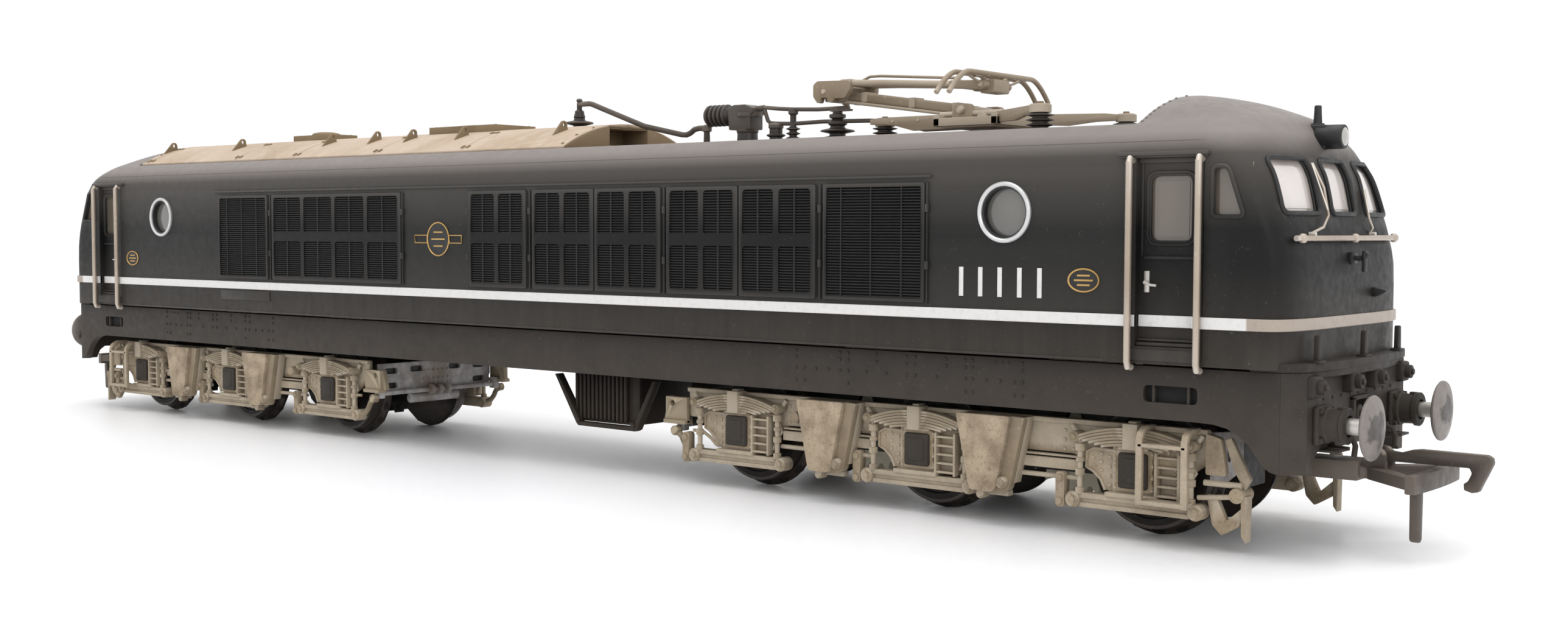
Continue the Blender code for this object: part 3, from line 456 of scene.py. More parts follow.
def khaki_material(name, colour, fine=0.55, silver=0.5):
    """Bogie paint: khaki dust over brown, speckled, with pale dry-brushed edges and painted shade darkening
    the hollows.
    """
    made = Shader(name, specular=0.2)
    made.base(colour)
    made.layer((104, 88, 68), made.ramp(made.noise(0.35, 5), 0.42, 0.66, 0.75))
    made.layer((92, 80, 64), made.ramp(made.noise(2.4, 2, 0.9), 0.55, 0.68, fine))
    made.layer((196, 182, 160), made.ramp(made.noise(2.9, 2, 0.9), 0.6, 0.72, fine * 0.8))
    made.layer((196, 186, 170), made.times(made.edges(0.52, 0.6), silver))
    # Darker where pointiness is low: painted shade in the hollows and crevices
    made.layer((58, 48, 36), made.edges(0.492, 0.44))
    return made.done((0.6, 0.8), 0.45, 3.0)


def silvered_material():
    """Inner bogie plates, dry-brushed silver-white over grey."""
    made = Shader("bogie_plate_silvered")
    made.base((140, 135, 132))
    made.layer((190, 188, 188), made.ramp(made.noise(0.3, 6, 0.65), 0.42, 0.6, 0.85))
    made.layer((120, 104, 84), made.ramp(made.noise(0.16, 5), 0.5, 0.72, 0.8))
    made.layer((84, 72, 60), made.ramp(made.noise(2.2, 3, 0.8), 0.6, 0.72, 0.4))
    return made.done((0.45, 0.7), 0.3, 3.0)


def buffer_material():
    """Buffer heads: grey-beige metal with a dark greasy patch in the middle."""
    made = Shader("buffer_head_steel", metallic=0.35)
    made.base((128, 121, 116))
    made.layer((112, 104, 98), made.ramp(made.noise(1.5, 4, 0.8), 0.5, 0.68, 0.7))
    offset = made.node("ShaderNodeCombineXYZ")
    for letter, centre in (("Y", BUFFER_Y * MM), ("Z", BUFFER_Z * MM)):
        centred = made.ramp(made.along(letter, True), 0.0, 2 * centre, centre, -centre)
        made.link(centred, offset.inputs[letter])
    reach = made.node("ShaderNodeVectorMath", operation="LENGTH")
    made.link(offset.outputs[0], reach.inputs[0])
    wobble = made.ramp(made.noise(0.55, 3), 0.3, 0.7, 1.0 * MM, -1.0 * MM)
    total = made.node("ShaderNodeMath", operation="ADD")
    made.link(reach.outputs["Value"], total.inputs[0])
    made.link(wobble, total.inputs[1])
    made.layer((70, 66, 63), made.ramp(total.outputs[0], 2.2 * MM, 1.6 * MM, 0.95))
    return made.done((0.35, 0.55), 0.25, 4.0)


def glass_material(name, colour, pale, amount):
    """Opaque cab glass whose colour is painted light: the lit interior seen through it, in soft bands of
    painted brightness under a clear gloss.
    """
    made = Shader(name, coat=1.0)
    made.base(colour)
    # Pale bands: painted brightness across the glass
    made.layer(pale, made.ramp(made.noise(0.11, 2, 0.4, (1, 1, 0.5)), 0.4, 0.62, amount))
    made.layer((92, 86, 78), made.ramp(made.noise(1.3, 2, 0.5), 0.62, 0.8, 0.15))
    return made.done((0.12, 0.22), 0.0)


BODY = body_material()
ROOF = roof_material()
STRIPE = stripe_material()
KHAKI = khaki_material("bogie_khaki", (150, 134, 110))
LINK_TAN = khaki_material("swing_link_speckled", (166, 149, 126), fine=0.55, silver=0.3)
SPRING = khaki_material("spring_leaf_olive", (124, 109, 84), fine=0.4, silver=0.6)
SILVERED = silvered_material()
BUFFER = buffer_material()
SKIRT = satin("skirt_charcoal_dusty", (50, 46, 43), (38, 36, 34), (86, 80, 74),
              (0.5, 0.64), dust=((76, 69, 62), 22, 13, 0.6), specular=0.18)
BLACK_TRIM = satin("trim_black", (24, 24, 24), (16, 16, 16), (60, 58, 56), (0.45, 0.6))
# Near-black for sheets behind slats, slots and the drawhook hollow: painted shade
PAINTED_SHADE = satin("louvre_shadow", (9, 9, 9), (5, 5, 5), (20, 19, 18), (0.8, 0.9))
BOX_BLACK = satin("equipment_black_brown", (34, 29, 26), (20, 18, 17), (70, 62, 54),
                  (0.4, 0.6), dust=(DUST, 15, 5, 0.3), specular=0.15)
COVER = satin("axlebox_cover_grey", (60, 55, 50), (46, 42, 39), (92, 84, 74), (0.55, 0.7),
              specular=0.2)
WHEEL = satin("wheel_brown_black", (32, 29, 27), (20, 18, 18), (70, 62, 54), (0.4, 0.6),
              metallic=0.1, specular=0.2)
HANDRAIL = satin("handrail_tan_silver", (160, 144, 126), (122, 98, 78), (205, 198, 190),
                 (0.3, 0.42), metallic=0.45, edge=(206, 198, 188))
STEEL = satin("steel_bright", (196, 192, 186), (150, 144, 138), (228, 226, 222), (0.25, 0.4),
              metallic=0.7)
COUPLING = satin("coupling_brown_grey", (70, 63, 58), (50, 45, 42), (104, 96, 88),
                 (0.4, 0.55), metallic=0.2, edge=(128, 118, 108), specular=0.25)
PANTOGRAPH = satin("pantograph_tan", (136, 120, 99), (100, 84, 62), (176, 162, 142),
                   (0.5, 0.66), metallic=0.1, edge=(180, 168, 152), specular=0.3)
PORCELAIN = satin("porcelain_dark", (56, 51, 48), (38, 35, 33), (92, 84, 76), (0.3, 0.45),
                  edge=(100, 92, 84), coat=0.05, specular=0.3)
OLIVE = satin("vent_olive_brown", (128, 110, 86), (98, 82, 60), (156, 140, 118), (0.6, 0.75),
              specular=0.25)
BRACKET = satin("bracket_dark_olive", (104, 92, 74), (72, 62, 48), (150, 136, 114), (0.6, 0.75),
                edge=(170, 156, 134), specular=0.2)
GOLD = satin("gold_line", (196, 160, 98), (150, 116, 66), (224, 196, 140), (0.3, 0.45),
             metallic=0.6)
RING = satin("porthole_ring_silver", (206, 206, 206), (160, 160, 160), (236, 236, 236),
             (0.25, 0.4), metallic=0.5)
LOUVRE = satin("louvre_satin", (34, 34, 34), (22, 22, 22), (66, 64, 62), (0.4, 0.55),
               specular=0.2)
TYRE = satin("tyre_brown_metal", (58, 51, 46), (38, 34, 31), (104, 94, 84), (0.3, 0.42),
             metallic=0.5)
LAMP = satin("headlamp_lens", (168, 166, 160), (110, 108, 104), (220, 218, 214), (0.08, 0.15),
             coat=1.0, bump=0.0)
# Glass colours: painted light of the interior seen through each pane, with painted brightness bands
GLASS_FRONT = glass_material("windscreen_lit", (170, 160, 152), (206, 198, 192), 0.8)
GLASS_PALE = glass_material("windscreen_inner", (196, 187, 181), (214, 208, 204), 0.8)
GLASS_SIDE = glass_material("side_glass_grey", (88, 81, 71), (112, 104, 94), 0.7)
GLASS_PORT = glass_material("porthole_glass", (84, 82, 79), (120, 117, 112), 0.7)

CAD_FINISH = {
    "die_cast": satin("die_cast_grey", (128, 126, 124), (96, 94, 92), (160, 158, 156),
                      (0.4, 0.55), metallic=0.6),
    "gear_plastic": satin("gear_plastic_cream", (214, 206, 184), (186, 176, 152),
                          (230, 226, 210), (0.35, 0.5)),
    "brass": satin("brass_turned", (190, 148, 78), (150, 112, 56), (222, 190, 126),
                   (0.2, 0.35), metallic=0.95),
    "circuit_laminate": satin("circuit_green", (28, 84, 46), (18, 60, 32), (150, 140, 80),
                              (0.3, 0.45), coat=0.3),
    "black_plastic": satin("plastic_black", (30, 29, 28), (20, 20, 20), (72, 68, 64),
                           (0.45, 0.6)),
    "motor_can": satin("motor_can_steel", (150, 152, 154), (118, 120, 122), (186, 186, 188),
                       (0.25, 0.4), metallic=0.9),
    "copper": satin("armature_copper", (170, 96, 60), (110, 62, 42), (206, 140, 100),
                    (0.3, 0.45), metallic=0.8),
    "underframe_paint": SKIRT,
    "bogie_paint": KHAKI,
    "roof_paint": ROOF,
    "porcelain": PORCELAIN,
    "pantograph_metal": PANTOGRAPH,
    "coupling_metal": COUPLING,
    "bright_steel": STEEL,
    "body_paint": BODY,
    "wheel_metal": WHEEL,
}


# ---------------------------------------------------------------- body surface
# Height, half width, nose reach, where the nose's curve leaves the straight side
LEVELS = [
    (20.95, 18.1, 126.2, 121.6), (27.0, 18.1, 126.2, 121.6), (32.0, 18.1, 126.1, 121.5),
    (34.7, 18.1, 125.6, 121.0), (37.6, 18.1, 124.95, 119.9), (41.8, 18.1, 124.0, 118.0),
    (43.5, 18.05, 123.2, 117.0), (45.2, 17.6, 122.6, 115.4), (46.5, 16.6, 122.0, 113.6),
    (47.7, 15.0, 121.3, 111.6), (48.5, 13.3, 120.6, 110.2), (49.7, 10.6, 117.7, 108.6),
    (50.7, 7.6, 114.6, 107.6), (51.5, 4.4, 110.8, 107.0), (51.9, 1.2, 107.9, 106.8),
]
BODY_BOTTOM, BODY_TOP = 20.95, 51.9
DECK_Z, DOME_X = 47.9, 106.5
SIDE_Y = 18.1
WALL = 2.2


def at_height(z):
    """Half width, nose reach, corner start and roundness of the body at a height."""
    z = min(max(z, BODY_BOTTOM), BODY_TOP)
    index = next((i for i in range(len(LEVELS) - 1) if z <= LEVELS[i + 1][0]), len(LEVELS) - 2)
    low, high = LEVELS[index], LEVELS[index + 1]
    before, after = LEVELS[max(index - 1, 0)], LEVELS[min(index + 2, len(LEVELS) - 1)]
    span = high[0] - low[0]
    t = (z - low[0]) / span
    values = []
    for k in (1, 2, 3):
        slope = (high[k] - low[k]) / span
        first = 0.0 if index == 0 else (high[k] - before[k]) / (high[0] - before[0])
        last = slope if index == len(LEVELS) - 2 else (after[k] - low[k]) / (after[0] - low[0])
        if abs(slope) < 1e-6:
            first = last = 0.0
        values.append((2 * t ** 3 - 3 * t ** 2 + 1) * low[k] + (t ** 3 - 2 * t ** 2 + t) * span * first
                      + (3 * t ** 2 - 2 * t ** 3) * high[k] + (t ** 3 - t ** 2) * span * last)
    power = 4.0 if z < 36 else max(2.3, 4.0 - (z - 36) * 0.13)
    return (*values, power)


def nose_x(y, z):
    """Front surface of the nose at a width and height."""
    half, reach, corner, power = at_height(z)
    share = min(abs(y) / half, 1.0)
    return corner + (reach - corner) * (1 - share ** power) ** (1 / power)


def side_y(x, z):
    """Side surface at a length and height, rounding into the nose."""
    half, reach, corner, power = at_height(z)
    if abs(x) <= corner:
        return half
    return half * max(0.0, 1 - min(1.0, (abs(x) - corner) / (reach - corner)) ** power) ** (1 / power)


def plan_ring(z, inset=0.0, steps=18):
    """Plan outline at a height, shrunk by an inset, as (x, y, z) points once round."""
    half, reach, corner, power = at_height(z)
    half, reach, corner = half - inset, reach - inset, corner - inset
    quarter = []
    for k in range(steps + 1):
        angle = math.pi / 2 * k / steps
        quarter.append((corner + (reach - corner) * math.sin(angle) ** (2 / power),
                        half * math.cos(angle) ** (2 / power)))
    half_ring = quarter + [(x, -y) for x, y in reversed(quarter[:-1])]
    return [(x, y, z) for x, y in half_ring] + [(-x, -y, z) for x, y in half_ring]


def loft(outlines, closed=False):
    """Solid through outlines in turn: capped, or joined from the last one back to the first."""
    bm = bmesh.new()
    rings = [[bm.verts.new(p) for p in outline] for outline in outlines]
    onward = rings[1:] + rings[:1] if closed else rings[1:]
    for lower, upper in zip(rings, onward):
        for i in range(len(lower)):
            j = (i + 1) % len(lower)
            bm.faces.new((lower[i], lower[j], upper[j], upper[i]))
    if not closed:
        bm.faces.new(rings[0])
        bm.faces.new(rings[-1])
    bmesh.ops.recalc_face_normals(bm, faces=bm.faces)
    piece = Piece()
    piece.add(bm)
    return piece


WINDSCREENS = ((-15.2, -6.9, 1), (-3.6, 3.6, 0), (6.9, 15.2, -1))
SCREEN_Z = (37.7, 43.8)
QUARTER_WINDOW = [(117.3, 37.3), (121.0, 37.3), (119.1, 42.8), (117.3, 42.8)]
DOOR = (108.2, 115.2, 22.9, 43.9)
DOOR_WINDOW = (109.6, 114.6, 34.6, 41.9)
DOOR_FACE = SIDE_Y - 1.0
DOOR_SEAMS = (107.2, 116.3)
NOSE_RAIL_Z = 35.0
WIPER_ARMS = (((-10.8, 35.4), (-8.2, 36.2), (-6.1, 37.5), (-5.9, 40.6), (-6.6, 43.3)),
              ((7.0, 35.4), (6.8, 36.2), (6.3, 37.3), (6.4, 38.8), (6.7, 40.6)))
PORTHOLES = (91.2, -92.6)
PORTHOLE_Z, PORTHOLE_R = 37.9, 3.45


def screen_outline(y0, y1, lean):
    """Windscreen outline in (y, z); the outer top corner leans in a little."""
    low, high = SCREEN_Z
    left = y0 + (0.5 if lean > 0 else 0.0)
    right_edge = y1 - (0.5 if lean < 0 else 0.0)
    return rounded([(y0, low), (y1, low), (right_edge, high), (left, high)], 0.9)


def make_body():
    """Hollow body shell with its deck, windows, doorways, portholes and seams cut."""
    heights = [20.95, 24, 27, 29.5, 32, 33.5, 35, 36.5] + [37.5 + 0.7 * k for k in range(10)]
    heights += [44.3, 44.8, 45.3, 45.8, 46.3, 46.8, 47.3, 47.8, 48.2, 48.6, 49.0, 49.4, 49.8, 50.2, 50.5,
                50.8, 51.1, 51.35, 51.6, 51.75, 51.87]
    shell = loft([plan_ring(z) for z in heights]).object("body_shell_visual")
    cavity = loft([plan_ring(z, WALL, 8) for z in (18, 30, 41, 44, 45.6)]).object()
    cuts = Piece()
    cuts.box((-DOME_X, -30, DECK_Z), (DOME_X, 30, 70))
    for end in (1, -1):
        for y0, y1, lean in WINDSCREENS:
            cuts.prism(screen_outline(y0, y1, lean), "X", *sorted((end * 119.5, end * 135)))
        for side in (1, -1):
            low, high = sorted((side * 15.4, side * 25))
            cuts.prism([(end * x, z) for x, z in rounded(QUARTER_WINDOW, 0.7)], "Y", low, high)
    cuts.corner_boxes((DOOR[0], DOOR_FACE, DOOR[2]), (DOOR[1], 25, DOOR[3]))
    holes = Piece()
    for end in (1, -1):
        x0, x1 = sorted((end * DOOR_WINDOW[0], end * DOOR_WINDOW[1]))
        holes.prism(rectangle(x0, x1, DOOR_WINDOW[2], DOOR_WINDOW[3], 0.9), "Y", -26, 26)
    for x in PORTHOLES:
        holes.pin(x, PORTHOLE_Z, -26, 26, PORTHOLE_R, sides=48)
    seams = Piece()
    for side in (1, -1):
        low, high = sorted((side * 17.25, side * 25))
        seams.box((-118, low, 45.66), (118, high, 45.74))
    for x in DOOR_SEAMS:
        seams.corner_boxes((x - 0.05, 18.0, 21.5), (x + 0.05, 25, 43.5))
    for tool in (cavity, cuts.object(), holes.object(), seams.object()):
        carve(shell, tool)
    file_piece(shell, BODY, covers="body_shell", smooth=SHELL_SMOOTH_DEGREES)


def surface_tube(piece, outline, on_surface, radius, sides=8):
    """Raised moulding that follows an outline laid on a curved surface."""
    dense = []
    for i, (a, b) in enumerate(outline):
        c, d = outline[(i + 1) % len(outline)]
        parts = max(1, round(math.hypot(c - a, d - b) / 0.6))
        dense += [(a + (c - a) * k / parts, b + (d - b) * k / parts) for k in range(parts)]
    piece.tube([on_surface(a, b) for a, b in dense], radius, sides, closed=True)


def make_cab_front(place, end):
    """Windscreen frames and panes, wipers, rail, lamp irons, headlamp and horn of one nose."""
    flip = (end, 1)
    frames = Piece()
    panes = Piece()
    inner = Piece()
    for y0, y1, lean in WINDSCREENS:
        outline = screen_outline(y0, y1, lean)
        surface_tube(frames, outline, lambda y, z: (nose_x(y, z) + 0.05, y, z), 0.3)
        surface_tube(frames, outline, lambda y, z: (nose_x(y, z) - 0.45, y, z), 0.22)
        wide = spread(y0 - 0.4, y1 + 0.4, 14)
        tall = spread(SCREEN_Z[0] - 0.4, SCREEN_Z[1] + 0.4, 8)
        panes.grid([[(nose_x(y, z) - 0.6, y, z) for y in wide] for z in tall])
        # Paler inner sheet on each windscreen: painted light of the lit cab interior seen through the glass
        margin = 1.1 if y1 - y0 > 7.5 else 0.75
        narrow = spread(y0 + margin, y1 - margin, 10)
        short = spread(SCREEN_Z[0] + 0.55, SCREEN_Z[1] - 0.95, 6)
        inner.grid([[(nose_x(y, z) - 0.52, y, z) for y in narrow] for z in short])
    frames.finish(place + "_windscreen_frames", "body_paint", BLACK_TRIM, flip)
    panes.finish(place + "_windscreen_panes", "glazing", GLASS_FRONT, flip, covers=place + "_cab_glazing")
    inner.finish(place + "_windscreen_inner_faces", "glazing", GLASS_PALE, flip)

    wipers = Piece()
    for route in WIPER_ARMS:
        foot = nose_x(*route[0])
        path = [(foot - 0.1, *route[0])] + [(nose_x(y, z) + 0.55, y, z) for y, z in route[1:]]
        wipers.tube(path, 0.15, 8)
        (ya, za), (yb, zb) = route[2], route[-1]
        wipers.tube([(nose_x(ya, za) + 0.42, ya, za + 0.6), (nose_x(yb, zb) + 0.42, yb, zb)], 0.24, 6,
                    flat=0.6)
        wipers.rod((foot - 0.1, *route[0]), (foot + 0.7, *route[0]), 0.3, sides=12)
    wipers.finish(place + "_wipers", "bright_steel", HANDRAIL, flip)

    rail = Piece()
    stand = 0.75
    rail.tube([(nose_x(y, NOSE_RAIL_Z) + stand, y, NOSE_RAIL_Z) for y in spread(-15.2, 15.2, 24)], 0.32, 12)
    for y in (-14.0, 0.0, 14.0):
        centre = (nose_x(y, NOSE_RAIL_Z) + stand, y, NOSE_RAIL_Z)
        rail.lathe([(0, -0.55), (0.3, -0.47), (0.5, -0.22), (0.55, 0), (0.5, 0.22), (0.3, 0.47), (0, 0.55)],
                   centre, UP, 16)
        rail.rod((nose_x(y, NOSE_RAIL_Z) - 0.2, y, NOSE_RAIL_Z), centre, 0.2, sides=10)
    rail.finish(place + "_nose_handrail", "bright_steel", HANDRAIL, flip)

    irons = Piece()
    front = nose_x(0, 32.8)
    irons.box((front - 0.2, -0.9, 32.1), (front + 0.35, 0.9, 33.4), 0.12)
    irons.tube([(front, 0, 32.8), (front + 0.8, 0, 32.7), (front + 1.5, 0.1, 32.9), (front + 1.7, 0.1, 33.3)],
               0.28, 8)
    irons.box((front + 1.2, -0.35, 31.2), (front + 1.6, 0.5, 33.6), 0.1)
    low = nose_x(6.7, 28.8)
    irons.prism([(low - 0.2, 28.2), (low + 0.3, 28.2), (low + 1.5, 28.7), (low + 1.5, 29.0),
                 (low + 0.3, 29.2), (low - 0.2, 29.4)], "Y", 6.1, 7.4, 0.08)
    irons.finish(place + "_lamp_irons", "body_paint", BLACK_TRIM, flip)

    lamp = Piece()
    lamp.prism([(119.6, 48.0), (123.0, 47.9), (123.0, 45.3), (122.2, 45.0)], "Y", -0.95, 0.95, 0.25, 3)
    lamp.rod((121.8, 0, 46.5), (124.9, 0, 46.5), 1.42, 1.38, sides=40, bevel=0.12)
    lamp.rod((120.2, 0, 46.8), (122.0, 0, 46.5), 0.6, 1.3, sides=32)
    lamp.finish(place + "_headlamp_housing", "body_paint", BLACK_TRIM, flip)
    lens = Piece()
    lens.lathe([(1.05, 0), (1.05, 0.12), (0.8, 0.3), (0.4, 0.4), (0, 0.42)], (124.8, 0, 46.5), ALONG, 32)
    lens.finish(place + "_headlamp_lens", "glazing", LAMP, flip)
    horn = Piece()
    foot = 47.75
    horn.rod((121.7, 0, foot), (121.7, 0, foot + 0.35), 0.8, 0.75, sides=24, bevel=0.08)
    horn.lathe([(0.5, 0), (0.42, 1.4), (0.4, 2.0), (0.3, 2.1), (0, 2.12)], (121.7, 0, foot + 0.3), UP, 20)
    horn.finish(place + "_roof_horn", "body_paint", BLACK_TRIM, flip)


def make_cab_side(place, end, which, side):
    """Door, side window, handrails and rivets at one corner of the body."""
    flip = (end, side)
    tag = f"{place}_{which}"
    face = DOOR_FACE
    door = Piece()
    x0, x1, z0, z1 = DOOR_WINDOW
    for grow, radius in ((0.35, 0.2), (0.05, 0.14)):
        outline = rectangle(x0 - grow, x1 + grow, z0 - grow, z1 + grow, 0.9 + grow)
        surface_tube(door, outline, lambda x, z: (x, face + 0.08, z), radius)
    door.box((108.9, face - 0.2, 32.6), (114.9, face + 0.3, 32.95), 0.08)
    door.box((108.5, face - 0.2, 33.0), (108.75, face + 0.22, 43.5), 0.06)
    door.box((108.3, face - 0.1, 22.95), (115.1, face + 0.75, 23.35), 0.08)
    door.box((108.3, face - 0.1, 23.5), (115.1, face + 0.45, 23.75), 0.06)
    door.box((108.3, face - 0.1, 43.3), (115.1, face + 0.4, 43.85), 0.06)
    door.box((106.1, SIDE_Y - 0.5, 44.05), (116.9, SIDE_Y + 0.55, 44.5), 0.12)
    door.box((106.3, SIDE_Y - 0.5, 43.85), (116.7, SIDE_Y + 0.2, 44.1), 0.05)
    door.box((107.5, SIDE_Y - 0.2, 21.3), (115.9, SIDE_Y + 0.12, 22.6), 0.06)
    quarter = rounded(QUARTER_WINDOW, 0.7)
    surface_tube(door, quarter, lambda x, z: (x, side_y(x, z) + 0.05, z), 0.26)
    surface_tube(door, quarter, lambda x, z: (x, side_y(x, z) - 0.4, z), 0.18)
    door.finish(tag + "_door_trim", "body_paint", BODY, flip)

    panes = Piece()
    panes.grid([[(x, face - 0.3, z) for x in (x0 - 0.4, x1 + 0.4)] for z in (z0 - 0.4, z1 + 0.4)])
    panes.grid([[(x0 + 0.7 + (x1 - x0 - 1.2) * k, face - 0.24, z) for k in (0, 1)]
                for z in (z0 + 0.5, z1 - 0.6)])
    xs = spread(116.9, 121.3, 8)
    panes.grid([[(x, side_y(min(x, 120.6), z) - 0.6, z) for x in xs] for z in (36.9, 38.4, 40.0, 41.6, 43.2)])
    panes.finish(tag + "_side_panes", "glazing", GLASS_SIDE, flip)

    rails = Piece()
    out = SIDE_Y + 0.75
    for x in (107.7, 116.0):
        route = [(x, SIDE_Y - 0.2, 43.6), (x, out - 0.2, 43.75), (x, out, 43.4), (x, out, 38), (x, out, 30),
                 (x, out, 21.2), (x, out - 0.25, 20.55), (x, SIDE_Y - 0.2, 20.5)]
        rails.tube(route, 0.4, 14)
    rails.finish(tag + "_cab_handrails", "bright_steel", HANDRAIL, flip)
    handle = Piece()
    handle.box((108.95, face, 28.9), (109.6, face + 0.3, 31.3), 0.06)
    handle.pin(109.25, 30.0, face, face + 0.8, 0.16, sides=10)
    handle.tube([(109.2, face + 0.75, 30.1), (110.0, face + 0.78, 29.75), (110.7, face + 0.75, 29.7)], 0.16,
                8)
    handle.finish(tag + "_door_handle", "bright_steel", STEEL, flip)
    rivets = Piece()
    for k in range(8):
        rivets.rivet((106.9, SIDE_Y, 22.0 + k * 2.95), OUTWARD, 0.2)
        rivets.rivet((116.9, SIDE_Y, 22.0 + k * 2.0), OUTWARD, 0.12)
    for k in range(9):
        z = 48.2 + k * 0.44
        rivets.rivet((106.75, at_height(z)[0] - 0.02, z), (0, 1, 1.2), 0.2)
    rivets.finish(tag + "_body_rivets", "body_paint", BODY, flip)


def make_porthole(x, which, side):
    """Ring, seal and pane of one round window."""
    ring = Piece()
    ring.lathe([(3.62, -0.3), (3.62, 0.3), (3.5, 0.45), (3.25, 0.45), (3.1, 0.32), (3.1, -0.3)],
               (x, SIDE_Y, PORTHOLE_Z), OUTWARD, 64)
    where = "front" if x > 0 else "rear"
    flip = (1, side)
    ring.finish(f"{where}_{which}_porthole_ring", "bright_steel", RING, flip)
    inner = Piece()
    inner.lathe([(3.12, -1.2), (3.12, 0.1), (2.85, 0.05), (2.8, -1.2)], (x, SIDE_Y, PORTHOLE_Z), OUTWARD, 64)
    inner.finish(f"{where}_{which}_porthole_seal", "body_paint", BLACK_TRIM, flip)
    pane = Piece()
    pane.lathe([(3.0, -0.75), (2.0, -0.68), (0, -0.66)], (x, SIDE_Y, PORTHOLE_Z), OUTWARD, 48)
    pane.finish(f"{where}_{which}_porthole_pane", "glazing", GLASS_PORT, flip)


def make_stripe():
    """Raised waistband right round the body, let in at the doors."""
    low, high = 25.08, 26.38
    section = ((low, 0.3), (low, -0.2), (low + 0.08, -0.26), (high - 0.08, -0.26), (high, -0.2), (high, 0.3))
    stripe = loft([plan_ring(z, inset) for z, inset in section], closed=True).object("waist_stripe")
    gaps = Piece()
    gaps.corner_boxes((DOOR[0], 16, 20), (DOOR[1], 20, 30))
    carve(stripe, gaps.object())
    file_piece(stripe, STRIPE, smooth=SHELL_SMOOTH_DEGREES)
    across = Piece()
    across.corner_boxes((DOOR[0] + 0.1, DOOR_FACE - 0.2, low), (DOOR[1] - 0.1, DOOR_FACE + 0.25, high), 0.06)
    across.finish("door_stripe", "bright_steel", STRIPE)


# ---------------------------------------------------------------- louvred panels
GRILLE_Z = (26.95, 41.6)
LOUVRE_PITCH = 0.36
TWO_ROWS = ((27.6, 33.6), (35.2, 41.1))
PANELS = (
    ("a", -73.2, -58.1, 0), ("b", -56.7, -21.3, 4), ("c", -4.7, 8.3, 2), ("d", 9.7, 22.6, 2),
    ("e", 22.9, 35.8, 2), ("f", 37.0, 49.9, 2), ("g", 50.2, 63.1, 2), ("h", 64.4, 80.0, 0),
)


def louvres(piece, x0, x1, z0, z1, pitch, out):
    """Sloping slats filling one opening."""
    count = round((z1 - z0) / pitch)
    step = (z1 - z0) / count
    for k in range(count):
        z = z0 + k * step
        piece.prism([(out, z + 0.02), (out, z + 0.38 * step), (out - 0.38, z + 0.98 * step),
                     (out - 0.38, z + 0.6 * step)], "X", x0, x1)


def make_grille(name, x0, x1, columns, which, side):
    """One door of louvres: a raised frame with windows of slats, or one full-height bank."""
    z0, z1 = GRILLE_Z
    out = SIDE_Y + 0.42
    plate = Piece()
    plate.prism(rectangle(x0, x1, z0, z1, 0.25, 2), "Y", SIDE_Y - 0.3, out)
    cutter = Piece()
    slats = Piece()
    if columns:
        pitch_x = (x1 - x0 - 0.5) / columns
        for column in range(columns):
            left = x0 + 0.6 + column * pitch_x
            wide = pitch_x - 0.9
            for low, high in TWO_ROWS:
                cutter.prism(rectangle(left, left + wide, low, high, 0.55), "Y", SIDE_Y - 0.05, 25)
                louvres(slats, left - 0.05, left + wide + 0.05, low, high, LOUVRE_PITCH, out - 0.1)
                middle = left + wide / 2
                slats.box((middle - 0.14, SIDE_Y - 0.1, low), (middle + 0.14, out - 0.04, high))
    else:
        cutter.prism(rectangle(x0 + 0.5, x1 - 0.5, z0 + 0.45, z1 - 0.45, 0.3), "Y", SIDE_Y - 0.05, 25)
        louvres(slats, x0 + 0.45, x1 - 0.45, z0 + 0.45, z1 - 0.45, LOUVRE_PITCH, out - 0.1)
        for share in (0.18, 0.48, 0.78):
            middle = x0 + (x1 - x0) * share
            slats.box((middle - 0.1, SIDE_Y - 0.1, z0 + 0.45), (middle + 0.1, out - 0.05, z1 - 0.45))
    plate.cut(cutter)
    plate.finish(f"louvre_frame_{name}_{which}", "body_paint", BODY, (1, side))
    slats.finish(f"louvre_slats_{name}_{which}", "body_paint", LOUVRE, (1, side))
    # Near-black sheet behind the slats: painted shade in the gaps between them
    backing = Piece()
    backing.box((x0 + 0.3, SIDE_Y - 0.1, z0 + 0.3), (x1 - 0.3, SIDE_Y + 0.03, z1 - 0.3), 0.02)
    backing.finish(f"louvre_backing_{name}_{which}", "body_paint", PAINTED_SHADE, (1, side))


